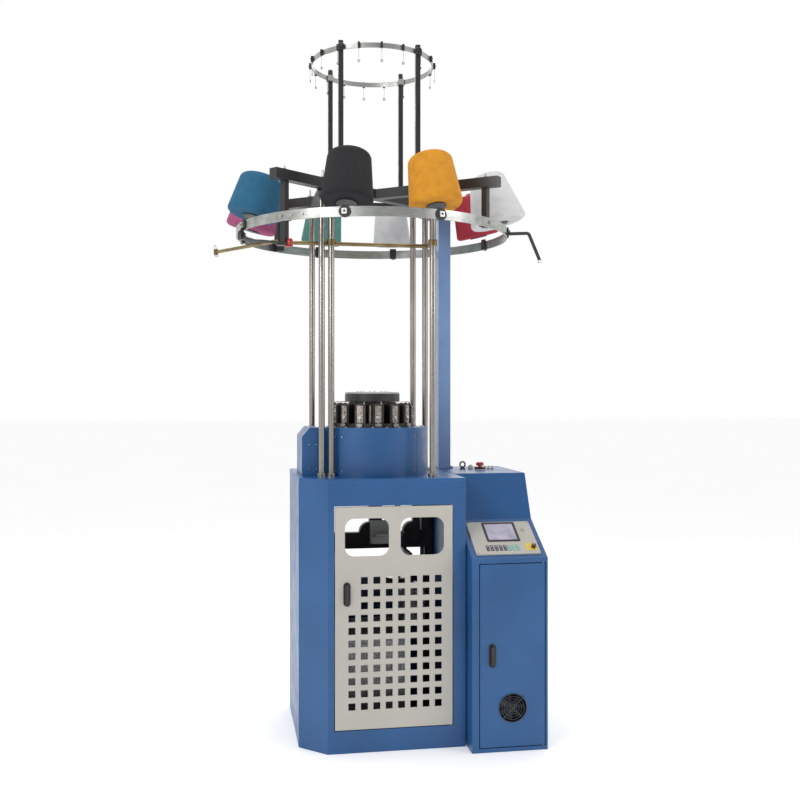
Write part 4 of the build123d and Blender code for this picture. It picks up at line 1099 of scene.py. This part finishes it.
# ---------------------------------------------------------------- top ring
# A flat aluminium ring on four square posts. The front posts hold it in round clamps, the
# rear ones under black clamp knobs. Thin spring wires hang from eighteen clips round it,
# each with a grey ceramic eye for one yarn.
dress(black_paint, "top_ring_posts")
top_low, top_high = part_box("top_ring")
top_radius = top_high.x
posts_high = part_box("top_ring_posts")[1]
post_x, post_y = posts_high.x - 0.010, posts_high.y - 0.010
clamp_height = (top_low.z + top_high.z) / 2
front_clamps, rear_clamps, clamp_knobs = [], [], []
for side in (-1, 1):
    front = facing((side * post_x, -post_y - 0.010, clamp_height), (0, -1, 0))
    front_clamps.append(
        turned(
            [
                (0, 0),
                (0.015, 0),
                (0.015, 0.010),
                (0.013, 0.012),
                (0.006, 0.012),
                (0.006, 0.016),
                (0.005, 0.017),
                (0, 0.017),
            ],
            front,
            32,
        )
    )
    rear = Matrix.Translation((side * post_x, post_y, clamp_height))
    rear_clamps.append(cuboid((0.026, 0.034, 0.026), rear @ Matrix.Translation((0, -0.004, 0)), 0.002))
    knob_profile = [
        (0, 0), (0.004, 0), (0.004, 0.008), (0.010, 0.010), (0.011, 0.018), (0.008, 0.022), (0, 0.022)
    ]
    clamp_knobs.append(turned(knob_profile, rear @ Matrix.Translation((0, 0, 0.018)), 24))
part("front_ring_clamps", front_clamps, black_paint, "machine")
part("rear_ring_clamps", rear_clamps, zinc, "machine")
part("ring_clamp_knobs", clamp_knobs, black_plastic, "machine")

clips = [
    cuboid((0.011, 0.009, 0.026), Matrix.Translation((0.004, 0, clamp_height)), 0.0012),
    *cap_screw(0.0028, facing((0.0095, 0, clamp_height), (1, 0, 0))),
]
eye_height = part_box("yarn_eyelets")[0].z + 0.009
hanger = [
    wire(
        [
            (0.004, 0, clamp_height),
            (0.006, 0, clamp_height - 0.020),
            (0.006, 0, eye_height + 0.018),
            (0.004, 0, eye_height + 0.006),
        ],
        0.0009,
    ),
]
eye_places = Matrix.Translation((0.004, 0, eye_height)) @ Matrix.Rotation(pi / 2, 4, "Y")
ceramic_eye = [
    turned(
        [
            (0.0028, -0.002),
            (0.0050, -0.002),
            (0.0062, -0.0008),
            (0.0062, 0.0008),
            (0.0050, 0.002),
            (0.0028, 0.002),
            (0.0022, 0),
        ],
        eye_places,
        20,
    )
]
ceramic = dull("grey_ceramic", (0.24, 0.235, 0.225), (0.36, 0.355, 0.34), 0.25)
eyelet_count, eyelet_start = 18, -pi / 2
wires = round_head("eyelet_wires", steel, hanger, top_radius, "polished_steel", eyelet_count, eyelet_start)
round_head("ceramic_eyes", ceramic, ceramic_eye, top_radius, None, eyelet_count, eyelet_start)
round_head("eyelet_clips", black_plastic, clips, top_radius, "black_plastic", eyelet_count, eyelet_start)
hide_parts("yarn_eyelets")


# ---------------------------------------------------------------- yarn packages
# Each package is yarn wound crosswise on a paper cone, turn over turn, so that its surface
# is a fine diamond weave of single strands. It stands on its peg, leaning inwards.
package_tree = repeats("wound_package")
given = given_inputs(
    package_tree, ("Outline", "Object"), ("Finish", ""), ("Place", ""), ("Turn", ""), ("Strands", "Float"),
    ("Rise", "Float"), ("Ridge", "Float"), ("Around", "Int"), ("Along", "Int"),
)
outline = feed(package_tree, "GeometryNodeObjectInfo", {"Object": given["Outline"]}).outputs["Geometry"]
outline = feed(package_tree, "GeometryNodeMeshToCurve", [outline]).outputs[0]
sheet = feed(
    package_tree, "GeometryNodeMeshGrid",
    {"Size X": 1.0, "Size Y": 1.0, "Vertices X": given["Around"], "Vertices Y": given["Along"]},
)
spread = feed(
    package_tree, "ShaderNodeSeparateXYZ", [feed(package_tree, "GeometryNodeInputPosition").outputs[0]]
)
around = sums(package_tree, "ADD", spread.outputs["X"], 0.5)
along = sums(package_tree, "ADD", spread.outputs["Y"], 0.5)
sample = feed(
    package_tree, "GeometryNodeSampleCurve", {
        "Curves": outline, "Factor": along
    }, mode="FACTOR", use_all_curves=True
)
profile = feed(package_tree, "ShaderNodeSeparateXYZ", [sample.outputs["Position"]])
angle = sums(package_tree, "MULTIPLY", around, 2 * pi)
crossing = []
for way in (1.0, -1.0):
    climb = sums(package_tree, "MULTIPLY", sums(package_tree, "MULTIPLY", along, given["Rise"]), way)
    phase = sums(package_tree, "MULTIPLY_ADD", angle, given["Strands"], climb)
    crossing.append(sums(package_tree, "ABSOLUTE", sums(package_tree, "SINE", phase)))
below_crown = sums(package_tree, "SUBTRACT", sums(package_tree, "MAXIMUM", *crossing), 1.0)
ridge = sums(package_tree, "MULTIPLY", below_crown, given["Ridge"])
reach = sums(package_tree, "ADD", profile.outputs["X"], ridge)
spot = feed(
    package_tree, "ShaderNodeCombineXYZ",
    [sums(package_tree, "MULTIPLY", reach, sums(package_tree, "COSINE", angle)),
     sums(package_tree, "MULTIPLY", reach, sums(package_tree, "SINE", angle)),
     profile.outputs["Z"]],
).outputs[0]
unrolled = feed(package_tree, "ShaderNodeCombineXYZ", [around, along, 0.0]).outputs[0]
marked = feed(
    package_tree, "GeometryNodeStoreNamedAttribute",
    {
        "Geometry": sheet.outputs["Mesh"], "Name": "winding", "Value": unrolled
    }, data_type="FLOAT2", domain="CORNER",
).outputs[0]
wound = feed(package_tree, "GeometryNodeSetPosition", {"Geometry": marked, "Position": spot}).outputs[0]
closed = feed(
    package_tree, "GeometryNodeMergeByDistance", {"Geometry": wound, "Distance": 0.00002}
).outputs[0]
moved = feed(
    package_tree, "GeometryNodeTransform", {
        "Geometry": closed, "Translation": given["Place"], "Rotation": given["Turn"]
    }
).outputs[0]
real = feed(package_tree, "GeometryNodeRealizeInstances", [moved]).outputs[0]
real = feed(
    package_tree, "GeometryNodeSetMaterial", {"Geometry": real, "Material": given["Finish"]}
).outputs[0]
feed(package_tree, "NodeGroupOutput", [real])


def yarn(name, shade, light):
    """Fuzzy spun yarn wound in crossing layers: strands, soft sheen, unevenly dyed patches, and painted shade
    in the gaps between strands.
    """
    material, tree, shader, place = blank(name, 0.85, Sheen_Weight=0.15, Sheen_Roughness=0.5)
    shader.inputs["Sheen Tint"].default_value = (*light, 1)
    wound = feed(tree, "ShaderNodeUVMap", uv_map="winding").outputs[0]
    strands = []
    for way in (-1, 1):
        lay = {"Vector": wound, "Scale": (40.0, 110.0, 1.0), "Rotation": (0.0, 0.0, way * 0.22)}
        skewed = feed(tree, "ShaderNodeMapping", lay).outputs[0]
        values = {"Vector": skewed, "Scale": 0.5, "Distortion": 1.4, "Detail": 2.0, "Detail Scale": 1.5}
        wave = feed(tree, "ShaderNodeTexWave", values, wave_type="BANDS", bands_direction="Y")
        strands.append(wave.outputs["Fac"])
    over = tones(tree, noise(tree, place, 0.012, 2), (0.46, (0, 0, 0)), (0.54, (1, 1, 1)))
    weave = feed(tree, "ShaderNodeMix", data_type="FLOAT")
    tree.links.new(over, weave.inputs["Factor"])
    tree.links.new(strands[0], weave.inputs[2])
    tree.links.new(strands[1], weave.inputs[3])
    fuzz = noise(tree, place, 0.0006, 3)
    height = sums(tree, "MULTIPLY_ADD", fuzz, 0.5, weave.outputs[0])
    soften(tree, shader, 0.0008, height, 0.0006)
    # Unevenly dyed patches plus painted shade: each strand is painted lighter on its crest and darker in the
    # gaps between strands.
    dye_and_strand_shade = sums(
        tree, "MULTIPLY_ADD", weave.outputs[0], 0.55, sums(tree, "MULTIPLY", noise(tree, place, 0.03), 0.5)
    )
    tree.links.new(tones(tree, dye_and_strand_shade, (0.2, shade), (0.8, light)), shader.inputs["Base Color"])
    return material


yarns = {
    name: yarn(name, shade, light)
    for name, shade, light in (
        ("black_yarn", (0.003, 0.003, 0.004), (0.010, 0.0095, 0.013)),
        ("blue_yarn", (0.006, 0.072, 0.15), (0.018, 0.145, 0.27)),
        ("pink_yarn", (0.22, 0.035, 0.10), (0.46, 0.10, 0.24)),
        ("teal_yarn", (0.045, 0.20, 0.17), (0.13, 0.38, 0.32)),
        ("white_yarn", (0.52, 0.52, 0.53), (0.80, 0.80, 0.80)),
        ("red_yarn", (0.24, 0.012, 0.025), (0.50, 0.03, 0.06)),
        ("orange_yarn", (0.46, 0.16, 0.004), (0.80, 0.36, 0.014)),
    )
}
paper = dull("core_paper", (0.30, 0.24, 0.17), (0.42, 0.35, 0.26), 0.8)
package_yarns = (
    "black_yarn", "blue_yarn", "pink_yarn", "teal_yarn", "white_yarn", "red_yarn", "white_yarn", "orange_yarn"
)
core_bore, core_outside, core_stand = 0.0140, 0.0171, 0.009  # stand is what shows past the yarn
bore_radius = 0.0172  # of the winding, just clear of its core


def measure(node, axis):
    """The foot of a package on its axis, and its outline as radius and height from there."""
    spots = [nodes[node].matrix_world @ vertex.co for vertex in nodes[node].data.vertices]
    low = min(spot.dot(axis) for spot in spots)
    sideways = axis.orthogonal().normalized()
    other = axis.cross(sideways)
    foot = axis * low
    for way in (sideways, other):
        reach = [spot.dot(way) for spot in spots]
        foot = foot + way * (min(reach) + max(reach)) / 2
    widest = {}
    for spot in spots:
        height = round((spot - foot).dot(axis), 4)
        radius = (spot - foot - axis * (spot - foot).dot(axis)).length
        widest[height] = max(radius, widest.get(height, 0))
    return foot, sorted((height, radius) for height, radius in widest.items() if radius > 0.03)


for number, (slot, joint) in enumerate(zip(package_yarns, lifts), 1):
    node = f"yarn_cone_{number}"
    axis = Vector(joint["axis"]).normalized()
    foot, outline = measure(node, axis)
    length = outline[-1][0]
    wound_outside = [(radius - 0.0003, height) for height, radius in outline]
    points = [(bore_radius, 0.0005)] + wound_outside + [(bore_radius, length - 0.001)]
    meridian = bpy.data.meshes.new(node + "_outline")
    meridian.from_pydata([(x, 0, z) for x, z in points], [(k, k + 1) for k in range(len(points) - 1)], [])
    outline_object = bpy.data.objects.new(node + "_outline", meridian)
    bpy.context.scene.collection.objects.link(outline_object)
    turn = facing(foot, axis).to_euler()
    package = grow(
        f"{slot}_package_{number}", package_tree, yarns[slot], node, slot, None, 60,
        outline=outline_object, place=foot, turn=turn,
        strands=16.0, rise=2 * pi * 13, ridge=0.0009, around=288, along=150,
    )
    bpy.data.objects.remove(outline_object)
    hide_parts(node)
    core = [
        (core_bore, -0.0006),
        (core_outside, -0.0006),
        (core_outside, length + 0.007),
        (0.0165, length + core_stand),
        (0.0150, length + core_stand),
        (core_bore, length + 0.007),
    ]
    part(f"paper_core_{number}", [turned(core, facing(foot, axis), 32)], paper, node)


# ---------------------------------------------------------------- studio
# A pale floor, soft light from both sides and above, and the viewpoint.
floor_reach = 60
floor = bmesh.new()
bmesh.ops.create_grid(floor, x_segments=1, y_segments=1, size=floor_reach)
floor_mesh = bpy.data.meshes.new("studio_floor")
floor.to_mesh(floor_mesh)
floor.free()
floor_stuff, tree, shader, place = blank(
    "studio_floor", 0.7, Emission_Color=(1, 1, 1, 1), Emission_Strength=0.22
)
tree.links.new(
    tones(tree, noise(tree, place, 1.5), (0.3, (0.93, 0.93, 0.93)), (0.7, (0.96, 0.96, 0.96))),
    shader.inputs["Base Color"],
)
floor_mesh.materials.append(floor_stuff)
studio_floor = bpy.data.objects.new("studio_floor", floor_mesh)
bpy.context.scene.collection.objects.link(studio_floor)
lit_spot = Vector((0, 0, 1.2))
for name, spot, size, power in (
    ("left_soft_box", (-3.4, -3.6, 3.2), 2.2, 95),
    ("right_soft_box", (3.6, -2.6, 2.6), 1.8, 36),
    ("rear_soft_box", (0.6, 3.4, 3.6), 2.4, 40),
    ("overhead_soft_box", (0.0, -0.6, 4.6), 2.2, 36),
):
    lamp = bpy.data.lights.new(name, "AREA")
    lamp.size = size
    lamp.energy = power
    light = bpy.data.objects.new(name, lamp)
    light.matrix_world = facing(spot, Vector(spot) - lit_spot)
    bpy.context.scene.collection.objects.link(light)

world = bpy.data.worlds.new("studio")
world.use_nodes = True
sky = world.node_tree
direction = feed(sky, "ShaderNodeSeparateXYZ", [feed(sky, "ShaderNodeTexCoord").outputs["Generated"]])
facing_back = sums(sky, "MULTIPLY_ADD", direction.outputs["Y"], 0.5, 0.5)
room = tones(sky, facing_back, (0.12, (0.38, 0.38, 0.39)), (0.42, (0.66, 0.66, 0.67)), (0.62, (1, 1, 1)))
sky.links.new(room, sky.nodes["Background"].inputs["Color"])
bpy.context.scene.world = world
bpy.context.scene.view_settings.view_transform = "Standard"

lens = bpy.data.cameras.new("camera")
lens.lens, lens.sensor_width, lens.shift_y = 45.1, 36.0, -0.0025
lens.clip_end = 200
camera = bpy.data.objects.new("camera", lens)
camera_spot, backwards = (-0.626, -4.282, 1.41), (-0.172, -0.985, 0)
camera.matrix_world = facing(camera_spot, backwards)
bpy.context.scene.collection.objects.link(camera)
bpy.context.scene.camera = camera
